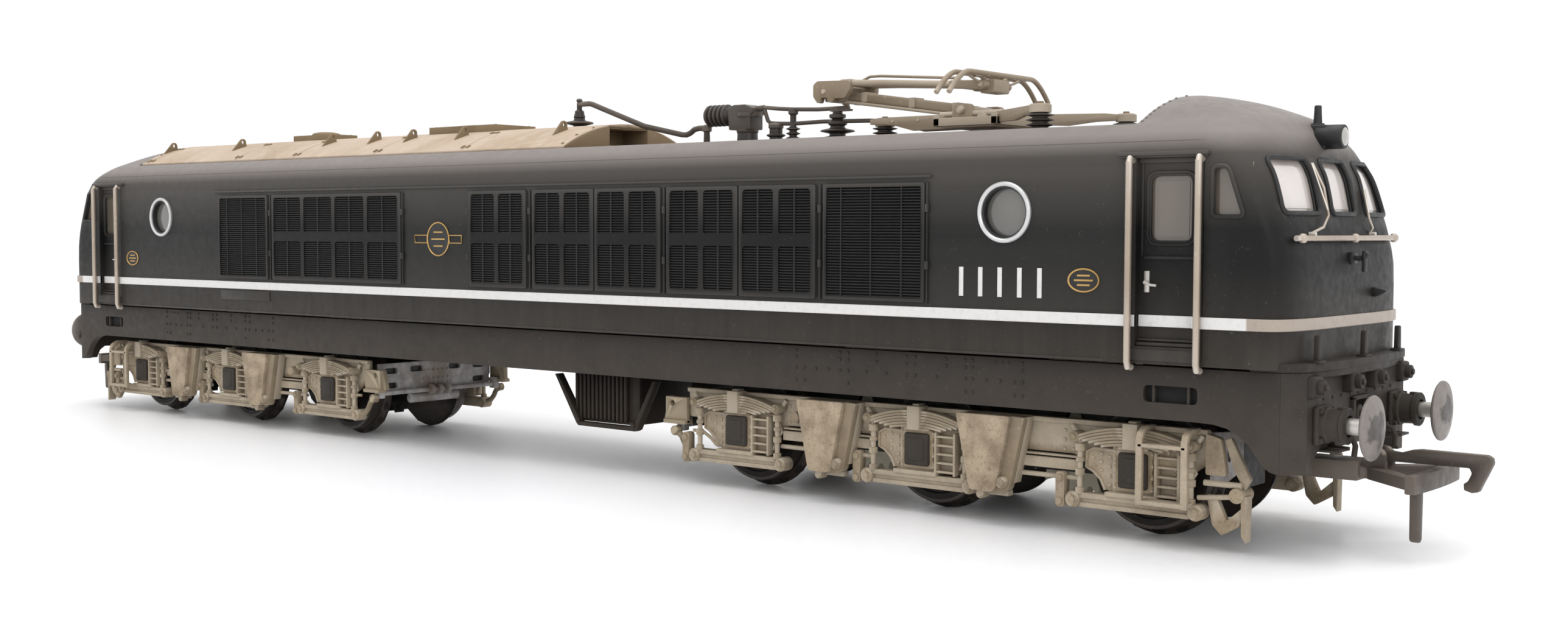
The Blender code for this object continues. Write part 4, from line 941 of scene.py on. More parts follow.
def make_side_details(which, side):
    """Louvre doors, their hinges and borders, drip strip, plates and lining of one side."""
    for name, x0, x1, columns in PANELS:
        make_grille(name, x0, x1, columns, which, side)
    trim = Piece()
    trim.box((-74.8, SIDE_Y - 0.2, 42.2), (80.9, SIDE_Y + 0.45, 42.5), 0.08)
    for x in (-57.4, -21.0, -5.0, 9.0, 36.4, 63.75, 80.3):
        trim.box((x - 0.12, SIDE_Y - 0.1, 26.9), (x + 0.12, SIDE_Y + 0.3, 41.6), 0.04)
        for z in (38.5, 31.5):
            trim.rod((x, SIDE_Y + 0.3, z - 0.5), (x, SIDE_Y + 0.3, z + 0.5), 0.26, sides=12)
    trim.box((-73.0, SIDE_Y - 0.1, 23.1), (-58.0, SIDE_Y + 0.16, 24.8), 0.04)
    trim.box((-104.5, SIDE_Y - 0.1, 20.98), (104.5, SIDE_Y + 0.1, 21.3), 0.04)
    trim.finish(f"side_trim_{which}", "body_paint", BODY, (1, side))
    marks = Piece()
    for k in range(5):
        x = 85.2 + 2.7 * k
        marks.box((x - 0.3, SIDE_Y - 0.05, 27.9), (x + 0.3, SIDE_Y + 0.07, 31.4), 0.02)
    marks.finish(f"side_marks_{which}", "bright_steel", STRIPE, (1, side))
    gold = Piece()
    field = Piece()
    for x, z, wide, tall in ((101.8, 30.1, 1.95, 1.3), (-103.0, 30.1, 1.95, 1.3), (-12.3, 34.2, 2.6, 2.6)):
        outline = ellipse(x, z, wide, tall, 48)
        gold.tube([(a, SIDE_Y + 0.1, b) for a, b in outline], 0.11, 6, closed=True)
        field.prism(outline, "Y", SIDE_Y - 0.1, SIDE_Y + 0.07)
        for k in (-1, 0, 1):
            half = wide * (0.62 if k == 0 else 0.42)
            level = z + k * tall * 0.42
            gold.box((x - half, SIDE_Y, level - 0.1), (x + half, SIDE_Y + 0.13, level + 0.1))
    for x0, x1 in ((-18.0, -15.0), (-9.6, -6.7)):
        gold.tube([(x, SIDE_Y + 0.08, z) for x, z in ((x0, 33.6), (x1, 33.6), (x1, 34.8), (x0, 34.8))],
                  0.09, 6, closed=True)
    gold.finish(f"gold_lining_{which}", "brass", GOLD, (1, side))
    field.finish(f"plate_fields_{which}", "body_paint", BLACK_TRIM, (1, side))


make_body()
make_stripe()
for place, end in ENDS:
    make_cab_front(place, end)
    for which, side in SIDES:
        make_cab_side(place, end, which, side)
for which, side in SIDES:
    make_side_details(which, side)
    for porthole_x in PORTHOLES:
        make_porthole(porthole_x, which, side)


# ---------------------------------------------------------------- roof sheets
ROOF_FROM, ROOF_TO = -106.2, 11.6
ROOF_HALF = 14.0
ROOF_SEAMS = (-104.2, -74.7, -56.8, -34.0, -11.6)
EYE_Y, EYE_Z = 7.75, 51.95
LIFTING_EYES = (-105.3, -81.7, -53.8, -41.0, -31.3, -18.1, 5.2)


def arch_z(y):
    """Height of the roof sheets at a width."""
    return 52.15 - 3.9 * (abs(y) / ROOF_HALF) ** 2.1


def arch_outline(lift, half, floor_z, steps=36):
    """Arch over |y| < half, closed along a flat underside."""
    return [(y, arch_z(y) + lift) for y in spread(-half, half, steps)] + [(half, floor_z), (-half, floor_z)]


def make_roof_panel():
    """Cream sheets, their end plate, hinges, lifting eyes and vents."""
    panel = Piece()
    panel.prism(arch_outline(0.0, ROOF_HALF, 47.95), "X", ROOF_FROM, ROOF_TO, 0.08)
    grooves = Piece()
    for x in ROOF_SEAMS:
        rim = [(y, z - 0.16) for y, z in arch_outline(0.0, 14.4, 47.0)[:-2]]
        grooves.prism(rim + [(14.4, 54), (-14.4, 54)], "X", x - 0.11, x + 0.11)
    well = Piece()
    well.box((6.0, -4.3, 48.7), (13.0, 4.3, 51.5))
    panel.cut(grooves, well)
    panel.finish("roof_sheets", "roof_paint", ROOF, covers="roof_panel")

    end = Piece()
    side = [(y, arch_z(y) - 0.18) for y in (4.3, 6.0, 8.0, 10.0, 11.5, 12.8, 13.7)]
    side += [(13.7, 48.0), (4.3, 48.0)]
    for way in (1, -1):
        end.prism([(way * y, z) for y, z in side], "X", ROOF_TO - 0.05, ROOF_TO + 0.12, 0.04)
        end.box((6.2, way * 4.3 - 0.1, 48.7), (ROOF_TO + 0.1, way * 4.3 + 0.1, 51.5), 0.03)
    end.box((ROOF_TO - 0.05, -4.3, 51.5), (ROOF_TO + 0.12, 4.3, 51.8), 0.04)
    end.box((6.1, -4.25, 48.7), (6.3, 4.25, 51.45), 0.03)
    end.box((6.1, -4.25, 51.3), (ROOF_TO, 4.25, 51.48), 0.03)
    end.rod((8.6, -2.1, 48.3), (8.6, -2.1, 50.4), 0.7, 0.6)
    end.finish("roof_end_plate", "roof_paint", OLIVE)

    trim = Piece()
    for x in ROOF_SEAMS:
        for y in (13.1, 7.0, -7.0, -13.1):
            lean = (arch_z(abs(y) + 0.3) - arch_z(abs(y) - 0.3)) / 0.6
            for step in (-0.62, 0.62):
                top = arch_z(y) + 0.2
                rise = math.copysign(0.32, y) * lean
                trim.prism([(y - 0.32, top - 0.5 - rise), (y + 0.32, top - 0.5 + rise),
                            (y + 0.32, top + rise), (y - 0.32, top - rise)], "X", x + step - 0.3,
                           x + step + 0.3, 0.06)
    for y in (-13.3, -10.4, -6.9, 6.9, 10.4, 13.3):
        trim.rivet((ROOF_TO - 0.7, y, arch_z(y)), (0, y / 20, 1), 0.26, 0.2)
        trim.rivet((ROOF_FROM + 0.9, y, arch_z(y)), (0, y / 20, 1), 0.26, 0.2)
    trim.finish("roof_sheet_hinges", "roof_paint", OLIVE)

    eyes = Piece()
    for x in LIFTING_EYES:
        for way in (-1, 1):
            crown = [(EYE_Y + 0.62 * math.cos(a), EYE_Z + 0.62 * math.sin(a))
                     for a in [math.radians(170 - 130 * k / 8) for k in range(9)]]
            outline = [(way * y, z) for y, z in [(7.0, 50.9)] + crown + [(10.1, 50.1)]]
            hole = ellipse(way * EYE_Y, EYE_Z, 0.3, 0.36, 14)
            plate = Piece()
            plate.prism(outline, "X", x - 0.22, x + 0.22, 0.05)
            drill = Piece()
            drill.prism(hole, "X", x - 1, x + 1)
            plate.cut(drill)
            eyes.join(plate)
    eyes.finish("roof_lifting_eyes", "roof_paint", OLIVE)

    plates = Piece()
    for low, high, half, top in ((-72.7, -60.9, 2.9, 53.0), (-31.3, -14.4, 4.5, 52.97)):
        plates.prism(rectangle(low, high, -half, half, 0.25), "Z", 51.3, top, 0.07)
        for x in (low + 0.8, high - 0.8):
            for y in (0.9 - half, half - 0.9):
                plates.rivet((x, y, top), UP, 0.2, 0.12)
    plates.lathe([(2.6, 52.9), (2.6, 53.15), (2.3, 53.42), (1.4, 53.6), (0, 53.66)], (-66.4, 0, 0), UP)
    plates.box((-24.6, -3.2, 52.9), (-20.8, 3.2, 53.12), 0.08)
    plates.finish("roof_vent_plates", "roof_paint", OLIVE)


make_roof_panel()


# ---------------------------------------------------------------- roof insulators and busbars
PANTOGRAPH_FEET = ((60.8, 0.0), (91.7, 11.0), (91.7, -11.0))
# Place along the locomotive and turned profile
ROOF_POSTS = (
    (41.4, [(0, DECK_Z), (2.3, DECK_Z), (2.35, 48.1), (1.5, 48.45), (0.95, 48.8), (0.95, 49.15),
            (1.35, 49.35), (1.4, 49.5), (0.95, 49.7), (0.95, 50.4), (1.1, 50.5), (1.1, 50.75), (0, 50.75)]),
    (52.6, [(0, DECK_Z), (1.5, DECK_Z), (1.2, 48.15), (2.35, 48.5), (2.5, 48.62), (2.3, 48.75), (1.15, 49.0),
            (1.15, 49.3), (2.3, 49.55), (2.5, 49.66), (2.3, 49.8), (1.15, 50.05), (1.0, 50.35), (1.35, 50.6),
            (1.4, 50.9), (1.0, 51.15), (0.75, 51.35), (1.15, 51.5), (1.2, 51.95), (0.7, 52.1), (0.7, 52.45),
            (0, 52.45)]),
)


def shed_profile(radius, core, low, high, sheds):
    """Stack of thin sharp sheds round a core."""
    pitch = (high - low) / sheds
    profile = [(0, low), (core * 1.25, low)]
    for k in range(sheds):
        z = low + k * pitch
        profile += [(core, z + pitch * 0.12), (radius * 0.9, z + pitch * 0.36), (radius, z + pitch * 0.46),
                    (radius * 0.96, z + pitch * 0.56), (core, z + pitch * 0.84)]
    return profile + [(core, high), (0, high)]


def make_roof_gear():
    """Circuit breaker, posts, busbars, high lead and the insulators under the pantograph."""
    breaker = Piece()
    breaker.lathe([(0, DECK_Z), (2.6, DECK_Z), (2.6, 48.12), (2.0, 48.3), (1.55, 48.7), (1.5, 49.9),
                   (1.62, 50.1), (1.62, 50.5), (0, 50.5)], (36, 0, 0), UP)
    breaker.prism([(33.6, 50.4), (37.7, 50.4), (37.7, 52.4), (38.1, 52.7), (38.1, 53.5), (36.6, 54.05),
                   (34.4, 54.05), (33.4, 53.3)], "Y", -1.5, 1.5, 0.16)
    breaker.lathe([(0, 0), (1.9, 0), (1.95, 0.25), (1.9, 0.55), (0, 0.55)], (36.4, 0, 52.3), UP)
    ribs = [(0, 0), (0.9, 0.0), (1.35, 0.18)]
    for k in range(5):
        at = 0.3 + 0.82 * k
        ribs += [(1.28, at), (1.58, at + 0.16), (1.62, at + 0.36), (1.56, at + 0.52), (1.28, at + 0.66)]
    breaker.lathe(ribs + [(1.1, 4.5), (1.1, 5.6), (0, 5.6)], (28.3, 0, 52.7), ALONG)
    breaker.rod((37.2, 0, 53.4), (39.2, 0, 53.5), 0.42)
    for k in range(4):
        a = math.pi / 4 + math.pi / 2 * k
        breaker.rivet((36 + 2.15 * math.cos(a), 2.15 * math.sin(a), 48.2), UP, 0.26, 0.2, 6)
    breaker.finish("circuit_breaker_body", "porcelain", PORCELAIN, covers="circuit_breaker")

    for number, (x, profile) in enumerate(ROOF_POSTS, 1):
        post = Piece()
        post.lathe(profile, (x, 0, 0), UP)
        post.finish(f"roof_post_{number}", "porcelain", PORCELAIN, covers=f"post_insulator_{number}")

    slim = Piece()
    slim.lathe(shed_profile(1.05, 0.55, 47.95, 50.6, 4), (44.6, 0, 0), UP)
    slim.lathe([(0, 50.6), (0.45, 50.6), (0.45, 52.2), (0.72, 52.4), (0.72, 53.15), (0.55, 53.3), (0, 53.3)],
               (44.6, 0, 0), UP)
    slim.finish("roof_slim_post", "porcelain", PORCELAIN)

    bars = Piece()
    bars.tube([(37.6, 0, 53.5), (38.8, 0, 53.6), (39.2, 0, 53.35), (39.9, 0, 51.6), (40.4, 0, 51.25),
               (41.4, 0, 51.15), (44.6, 0, 51.0), (50, 0, 51.1), (58.4, 0, 50.9), (60.8, 0, 50.7)], 0.3, 12)
    bars.tube([(38.8, 0, 53.6), (42, 0, 53.25), (44.6, 0, 53.05), (49, 0, 52.85), (54.6, 0, 52.85)], 0.3, 12)
    bars.lathe([(0, 0), (1.1, 0), (1.1, 0.3), (0.5, 0.45), (0, 0.45)], (41.4, 0, 50.8), UP, 24)
    bars.box((51.6, -0.55, 52.4), (54.9, 0.55, 52.7), 0.08)
    bars.rivet((52.6, 0, 52.7), UP, 0.4, 0.35, 6)
    bars.finish("roof_busbars", "pantograph_metal", COUPLING, covers="roof_busbar")

    lead = Piece()
    lead.tube([(0.7, 0, 55.75), (3.0, 0, 55.75), (3.7, 0, 55.6), (6.3, 0, 54.7), (15, 0, 51.75),
               (23.0, 0, 50.15), (23.9, 0, 50.1), (24.7, 0, 50.35), (25.5, 0, 50.85), (26.4, 0, 51.0),
               (28.4, 0, 51.0)], 0.42, 12)
    lead.lathe([(0, DECK_Z), (1.9, DECK_Z), (1.95, 48.1), (1.2, 48.3), (0.5, 48.5), (0.45, 50.4),
                (0.75, 50.5), (0.75, 51.25), (0.4, 51.45), (0, 51.45)], (28.0, 0, 0), UP, 32)
    lead.finish("roof_high_lead", "pantograph_metal", COUPLING, covers="roof_lead")

    pin = Piece()
    pin.lathe([(0, 51.9), (1.0, 51.9), (1.0, 52.35), (2.15, 52.62), (2.3, 52.78), (2.15, 52.92), (1.0, 53.15),
               (0.85, 53.5), (0.95, 53.7), (0.75, 54.3), (0.75, 54.6), (0.42, 54.9), (0.42, 55.9),
               (0.3, 56.0), (0.48, 56.2), (0.5, 56.4), (0.35, 56.6), (0, 56.68)], (0.7, 0, 0), UP)
    pin.finish("lead_insulator_body", "porcelain", PORCELAIN, covers="lead_insulator")

    for number, (x, y) in enumerate(PANTOGRAPH_FEET, 1):
        foot = Piece()
        foot.lathe([(0, 47.92), (1.55, 47.92), (1.5, 48.1), (1.0, 48.2)]
                   + shed_profile(1.75, 1.0, 48.2, 50.0, 3)[2:-1] + [(1.1, 50.05), (0, 50.05)], (x, y, 0), UP)
        foot.finish(f"pantograph_foot_{number}", "porcelain", PORCELAIN,
                    covers=f"pantograph_insulator_{number}")


make_roof_gear()


# ---------------------------------------------------------------- pantograph
BASE_HINGE, KNEE, HEAD_HINGE = (76.0, 51.4), (52.8, 54.9), (78.3, 54.6)


def make_pantograph():
    """Base frame, two arms and the head, each on its own body."""
    base = Piece()
    for way in (-1, 1):
        base.prism([(59.4, 50.2), (59.4, 50.95), (61.2, 51.1), (74.0, 51.1), (74.0, 49.2), (66.5, 49.15),
                    (63.6, 49.9), (62.0, 50.1)], "Y", way * 1.3 - 0.35, way * 1.3 + 0.35, 0.1)
        arm = [(81.5, 51.0), (81.5, 49.6), (86.5, 49.5), (90.0, 50.0), (93.0, 50.15), (93.0, 50.95),
               (91.0, 51.1)]
        strut = Piece()
        strut.prism(arm, "Y", -0.35, 0.35, 0.1)
        bmesh.ops.translate(strut.bm, vec=(-81.5, 0, 0), verts=strut.bm.verts)
        bmesh.ops.rotate(strut.bm, matrix=Matrix.Rotation(way * math.radians(33), 3, "Z"),
                         verts=strut.bm.verts)
        bmesh.ops.translate(strut.bm, vec=(81.5, way * 4.0, 0), verts=strut.bm.verts)
        base.join(strut)
        base.prism(rounded([(74.4, 50.2), (77.6, 50.2), (77.2, 52.2), (74.8, 52.2)], 0.5), "Y",
                   way * 3.7 - 0.55, way * 3.7 + 0.55, 0.08)
        base.pin(*BASE_HINGE, way * 3.0, way * 4.7, 0.55, sides=20, bevel=0.08)
        base.rod((72.4, way * 3.6, 50.9), (82.0, way * 3.6, 50.9), 0.38, sides=12)
        base.box((72.2, way * 4.75 - 0.45, 49.3), (82.0, way * 4.75 + 0.45, 50.4), 0.12)
        for x in (63.2, 67.4, 71.4):
            base.rivet((x, way * 1.65, 50.5), (0, way, 0), 0.24, 0.15, 6)
    cup = [(0, 50.0), (1.35, 50.0), (1.35, 50.9), (1.1, 51.05), (0.45, 51.05), (0.4, 51.35), (0, 51.35)]
    for x, y in PANTOGRAPH_FEET:
        base.lathe(cup, (x, y, 0), UP, 32)
    for x in (72.2, 81.0):
        base.box((x, -5.2, 49.3), (x + 1.0, 5.2, 50.7), 0.12)
    base.box((73.0, -4.4, 49.1), (81.2, 4.4, 49.5), 0.1)
    base.pin(79.2, 50.3, -4.6, 4.6, 0.6, sides=20)
    base.finish("pantograph_base_frame", "pantograph_metal", PANTOGRAPH, covers="pantograph_base")

    lower = Piece()
    lower.prism([(54.2, 53.9), (54.4, 55.0), (60.0, 54.4), (75.8, 52.1), (76.2, 51.0), (75.4, 50.75),
                 (60.0, 53.0)], "Y", -0.95, 0.95, 0.35, 3)
    lower.prism(rectangle(51.9, 55.2, 53.6, 55.7, 0.3), "Y", -2.1, 2.1, 0.15)
    lower.pin(*KNEE, -2.35, 2.35, 0.55, sides=20, bevel=0.08)
    lower.pin(*BASE_HINGE, -2.9, 2.9, 0.6, sides=20, bevel=0.08)
    lower.tube([(55.2, -1.5, 53.5), (60, -1.45, 52.85), (73.4, -1.4, 50.95)], 0.22, 10)
    for x, z in ((58.0, 54.1), (66.0, 53.0), (73.0, 52.0)):
        lower.box((x - 0.5, -1.2, z - 0.75), (x + 0.5, 1.2, z + 0.65), 0.12)
    lower.finish("pantograph_lower_arm_frame", "pantograph_metal", PANTOGRAPH, body="pantograph_lower",
                 covers="pantograph_lower_arm")

    upper = Piece()
    for way in (-1, 1):
        cheek = rounded([(50.9, 55.95), (50.9, 54.3), (51.6, 53.4), (52.1, 53.4), (52.3, 54.1), (53.3, 54.1),
                         (53.5, 53.4), (54.3, 53.4), (54.6, 53.9), (56.4, 53.9), (57.2, 55.0), (57.2, 56.3),
                         (51.6, 56.45)], 0.25)
        upper.prism(cheek, "Y", way * 3.0 - 0.5, way * 3.0 + 0.5, 0.1)
        upper.rivet((KNEE[0], way * 3.5, KNEE[1]), (0, way, 0), 0.42, 0.3, 6)
        upper.tube([(56.6, way * 2.6, 56.0), (62, way * 1.9, 55.75), (74.0, way * 1.25, 55.0)], 0.45, 12)
        upper.prism(rounded([(73.4, 54.35), (78.6, 54.0), (79.1, 54.6), (78.6, 55.2), (73.4, 55.4)], 0.3),
                    "Y", way * 2.85 - 0.45, way * 2.85 + 0.45, 0.1)
        upper.rivet((HEAD_HINGE[0], way * 3.3, HEAD_HINGE[1]), (0, way, 0), 0.4, 0.3, 6)
    upper.box((55.4, -3.2, 55.7), (57.2, 3.2, 56.5), 0.15)
    upper.box((73.2, -3.1, 54.5), (74.4, 3.1, 55.3), 0.12)
    upper.tube([(57.0, 0, 56.5), (58.2, 0, 56.95), (60, 0, 56.95), (72.4, 0, 56.0), (73.6, 0, 55.3)], 0.2, 10)
    upper.finish("pantograph_upper_arm_frame", "pantograph_metal", PANTOGRAPH, body="pantograph_upper",
                 covers="pantograph_upper_arm")

    head = Piece()
    head.prism(rectangle(77.3, 79.5, 53.6, 55.4, 0.3), "Y", -1.9, 1.9, 0.14)
    head.pin(*HEAD_HINGE, -2.35, 2.35, 0.5, sides=20)
    for x in (77.4, 79.3):
        path = []
        for y in spread(-12.2, 12.2, 40):
            drop = max(0.0, abs(y) - 7.6) / 4.6
            path.append((x, y, 55.95 - 2.9 * drop ** 1.7))
        head.tube(path, 0.34, 10)
    for y in (-6.4, -3.2, 3.2, 6.4):
        head.box((77.2, y - 0.3, 55.6), (79.5, y + 0.3, 56.0), 0.08)
    for way in (-1, 1):
        head.tube([(78.3, way * 1.6, 54.9), (78.3, way * 2.6, 55.4), (78.3, way * 3.2, 55.7)], 0.3, 10)
        head.tube([(78.3, way * 1.4, 54.4), (78.3, way * 4.8, 55.2), (78.3, way * 6.4, 55.7)], 0.18, 8)
    head.finish("pantograph_head_frame", "pantograph_metal", PANTOGRAPH, body="pantograph_head",
                covers="pantograph_head")


make_pantograph()


# ---------------------------------------------------------------- skirt, beams and footplates
SKIRT_TOP = 20.65
SLOT_X = 112.15
COUPLING_PIVOT_X = 119.5
SKIRT_HALF = 17.05
RIVET_LEVELS = (20.05, 19.2, 17.8, 16.2)
SKIRT_RIVETS = ((58.9, (0, 1, 2, 3)), (60.3, (2, 3)), (62.2, (2,)), (64.2, (2,)), (66.1, (0, 1, 2)),
                (67.4, (0, 1, 2, 3)), (70.3, (2,)), (71.9, (0, 1)), (73.4, (2,)), (76.5, (0, 1, 2)),
                (77.8, (0, 1, 2)), (81.0, (2,)), (82.4, (0, 1)), (85.2, (0, 1, 2, 3)), (86.2, (0, 1, 2, 3)),
                (88.2, (2,)), (90.1, (2,)), (92.1, (2, 3)), (93.2, (0, 1, 2, 3)))


def make_skirt():
    """Riveted side skirts with a barred slot under each cab door."""
    skirt = Piece()
    arc = [(115.2, 14.7), (117.2, 14.62), (118.8, 14.3), (120.2, 13.6), (121.4, 12.6), (122.3, 11.4),
           (123.0, 10.5), (123.8, 9.95), (124.86, 9.7)]
    for way in (-1, 1):
        wall = arc + [(124.86, SKIRT_TOP), (-124.86, SKIRT_TOP)]
        wall += [(-x, z) for x, z in reversed(arc)]
        panel = Piece()
        panel.prism(wall, "Y", way * 16.45 - 0.6, way * 16.45 + 0.6, 0.06)
        windows = Piece()
        for end in (-1, 1):
            centre = end * SLOT_X
            windows.prism(rectangle(centre - 3.25, centre + 3.25, 16.6, 18.5, 0.6), "Y", way * 17 - 3,
                          way * 17 + 3)
        panel.cut(windows)
        skirt.join(panel)
        for end in (-1, 1):
            for step in (-2.1, 2.1):
                x = end * SLOT_X + step
                skirt.box((x - 0.16, way * 16.6 - 0.3, 16.4), (x + 0.16, way * 16.6 + 0.3, 18.7), 0.05)
            for x, rows in SKIRT_RIVETS:
                for row in rows:
                    skirt.rivet((end * x, way * SKIRT_HALF, RIVET_LEVELS[row]), (0, way, 0), 0.24, 0.2)
            for x in (89.4, 90.4, 91.3):
                skirt.rivet((end * x, way * SKIRT_HALF, 20.0), (0, way, 0), 0.18, 0.14)
    skirt.finish("skirt_sides", "underframe_paint", SKIRT, covers="solebar_frame")
    # Near-black sheet behind each skirt slot: painted shade seen through the opening
    backing = Piece()
    backing.corner_boxes((107.6, 16.22, 15.6), (116.8, 16.34, 19.6), 0.05)
    backing.finish("skirt_slot_backing", "underframe_paint", PAINTED_SHADE)


def make_beam(place, end):
    """Buffer beam with its chamfered corners, shelf, lamp posts, bosses and draw hook."""
    half = [(124.88, 17.05), (127.0, 14.95)]
    inner = [(125.3, 14.4), (124.0, 15.8)]
    plan = half + [(x, -y) for x, y in reversed(half)]
    plan += [(x, -y) for x, y in reversed(inner)] + inner
    full = Piece()
    full.prism(plan, "Z", 9.7, SKIRT_TOP, 0.05)
    cutter = Piece()
    cut_half = [(13.5, 5.0), (13.5, 9.9), (12.9, 11.2), (11.9, 11.9)]
    cutter.prism(cut_half + [(-y, z) for y, z in reversed(cut_half)], "X", 120, 130)
    hollow = Piece()
    hollow.prism(rectangle(-2.0, 2.0, 13.3, 16.9, 0.5), "X", 126.4, 128)
    full.cut(cutter, hollow)

    curve = [(128.35 - 1.35 * (y / 15.3) ** 2, y) for y in spread(-15.3, 15.3, 24)]
    shelf = [(121.4, -17.15), (124.95, -17.15)] + curve + [(124.95, 17.15), (121.4, 17.15)]
    full.prism(shelf, "Z", 20.7, 21.65, 0.1)
    lip = [(125.0, -15.9)] + [(x + 0.02, y * 0.86) for x, y in curve] + [(125.0, 15.9)]
    full.prism(lip, "Z", 20.0, 20.8, 0.1)
    for y in (-12.4, 0.0, 12.4):
        x = 127.55 - 0.5 * abs(y) / 12.4
        full.prism([(y - 0.55, 21.6), (y + 0.55, 21.6), (y + 0.42, 24.4), (y + 0.3, 24.6), (y - 0.3, 24.6),
                    (y - 0.42, 24.4)], "X", x - 0.28, x + 0.28, 0.08)
        full.box((x - 0.6, y - 0.95, 21.55), (x + 0.6, y + 0.95, 21.9), 0.1)
    for y in (-13.6, -3.65, 3.65, 13.6):
        front = 127.9 if abs(y) < 10 else 127.5
        full.box((126.2, y - 1.25, 17.9), (front + 0.3, y + 1.25, 20.3), 0.35, 3)
        full.rod((front, y, 19.1), (front + 0.95, y, 19.1), 0.8, sides=28, bevel=0.1)
        full.rod((front + 0.8, y, 19.1), (front + 1.2, y, 19.1), 0.4, sides=6, bevel=0.05)
    for a, b, c, d in ((-2.5, 2.5, 16.8, 17.3), (-2.5, 2.5, 12.9, 13.4), (-2.5, -1.9, 13.0, 17.2),
                       (1.9, 2.5, 13.0, 17.2)):
        full.box((126.8, a, c), (127.5, b, d), 0.12)
    full.tube([(126.2, 0, 15.2), (127.8, 0, 15.2), (128.5, 0, 14.9), (128.8, 0, 14.2), (128.4, 0, 13.6),
               (127.8, 0, 13.5)], 0.42, 12)
    full.rod((126.4, 0, 15.2), (127.3, 0, 15.2), 1.0, sides=24, bevel=0.12)
    for way in (-1, 1):
        full.prism([(126.9, 11.9), (129.2, 11.9), (129.2, 12.3), (127.8, 12.4), (126.9, 14.0)], "Y",
                   way * 8.4 - 0.3, way * 8.4 + 0.3, 0.06)
        full.box((126.9, way * 9.6 - 1.8, 11.85), (129.0, way * 9.6 + 1.8, 12.15), 0.08)
        full.rod((127.0, way * 6.3, 13.2), (128.2, way * 6.3, 13.2), 0.55, sides=20, bevel=0.08)
        full.tube([(128.1, way * 6.3, 13.2), (128.8, way * 6.3, 13.0), (129.1, way * 6.3, 12.2),
                   (129.0, way * 6.4, 11.0)], 0.32, 10)
    for y in spread(-10.4, 10.4, 8):
        full.rivet((127.0, y, 17.6), ALONG, 0.2, 0.16)
    full.finish(f"{place}_buffer_beam", "underframe_paint", SKIRT, (end, 1))

    # Near-black sheet at the back of the drawhook hollow: painted shade
    void = Piece()
    void.box((126.3, -1.95, 13.35), (126.45, 1.95, 16.85), 0.02)
    void.finish(f"{place}_drawhook_recess", "underframe_paint", PAINTED_SHADE, (end, 1))


def make_buffer(place, end, which, side):
    """Fixed housing, and the sprung head with its shank."""
    centre = (0, BUFFER_Y, BUFFER_Z)
    housing = Piece()
    housing.box((126.9, 9.3, 12.8), (127.7, 13.5, 17.0), 0.35, 3)
    housing.lathe([(0, 126.9), (2.0, 126.9), (2.0, 128.1), (1.78, 128.3), (1.75, 129.6), (1.98, 129.75),
                   (2.0, 130.2), (1.9, 130.3), (1.2, 130.3), (1.2, 127.4), (0, 127.4)], centre, ALONG)
    for a in (-1.6, 1.6):
        for b in (-1.6, 1.6):
            y, z = BUFFER_Y + a, BUFFER_Z + b
            housing.rod((127.6, y, z), (128.05, y, z), 0.34, sides=6, bevel=0.04)
    housing.box((129.0, 11.1, 16.5), (129.9, 11.7, 16.9), 0.08)
    housing.finish(f"{place}_{which}_buffer_body", "underframe_paint", SKIRT, (end, side),
                   covers=f"{place}_{which}_buffer_housing")

    body = f"{place}_{which}_buffer_head"
    head = Piece()
    head.lathe([(0, 131.9), (1.3, 131.9), (1.5, 132.1), (3.3, 132.45), (3.5, 132.6), (3.52, 132.8),
                (3.42, 132.95), (2.4, 133.25), (1.2, 133.42), (0, 133.48)], centre, ALONG, 64)
    head.finish(f"{place}_{which}_buffer_disc", "bright_steel", BUFFER, (end, side), body,
                covers=f"{place}_{which}_buffer_head")
    shank = Piece()
    shank.lathe([(0, 129.3), (0.9, 129.3), (0.92, 131.9), (1.1, 131.95), (1.1, 132.1), (0, 132.1)],
                centre, ALONG)
    shank.finish(f"{place}_{which}_buffer_shank", "bright_steel", STEEL, (end, side), body)


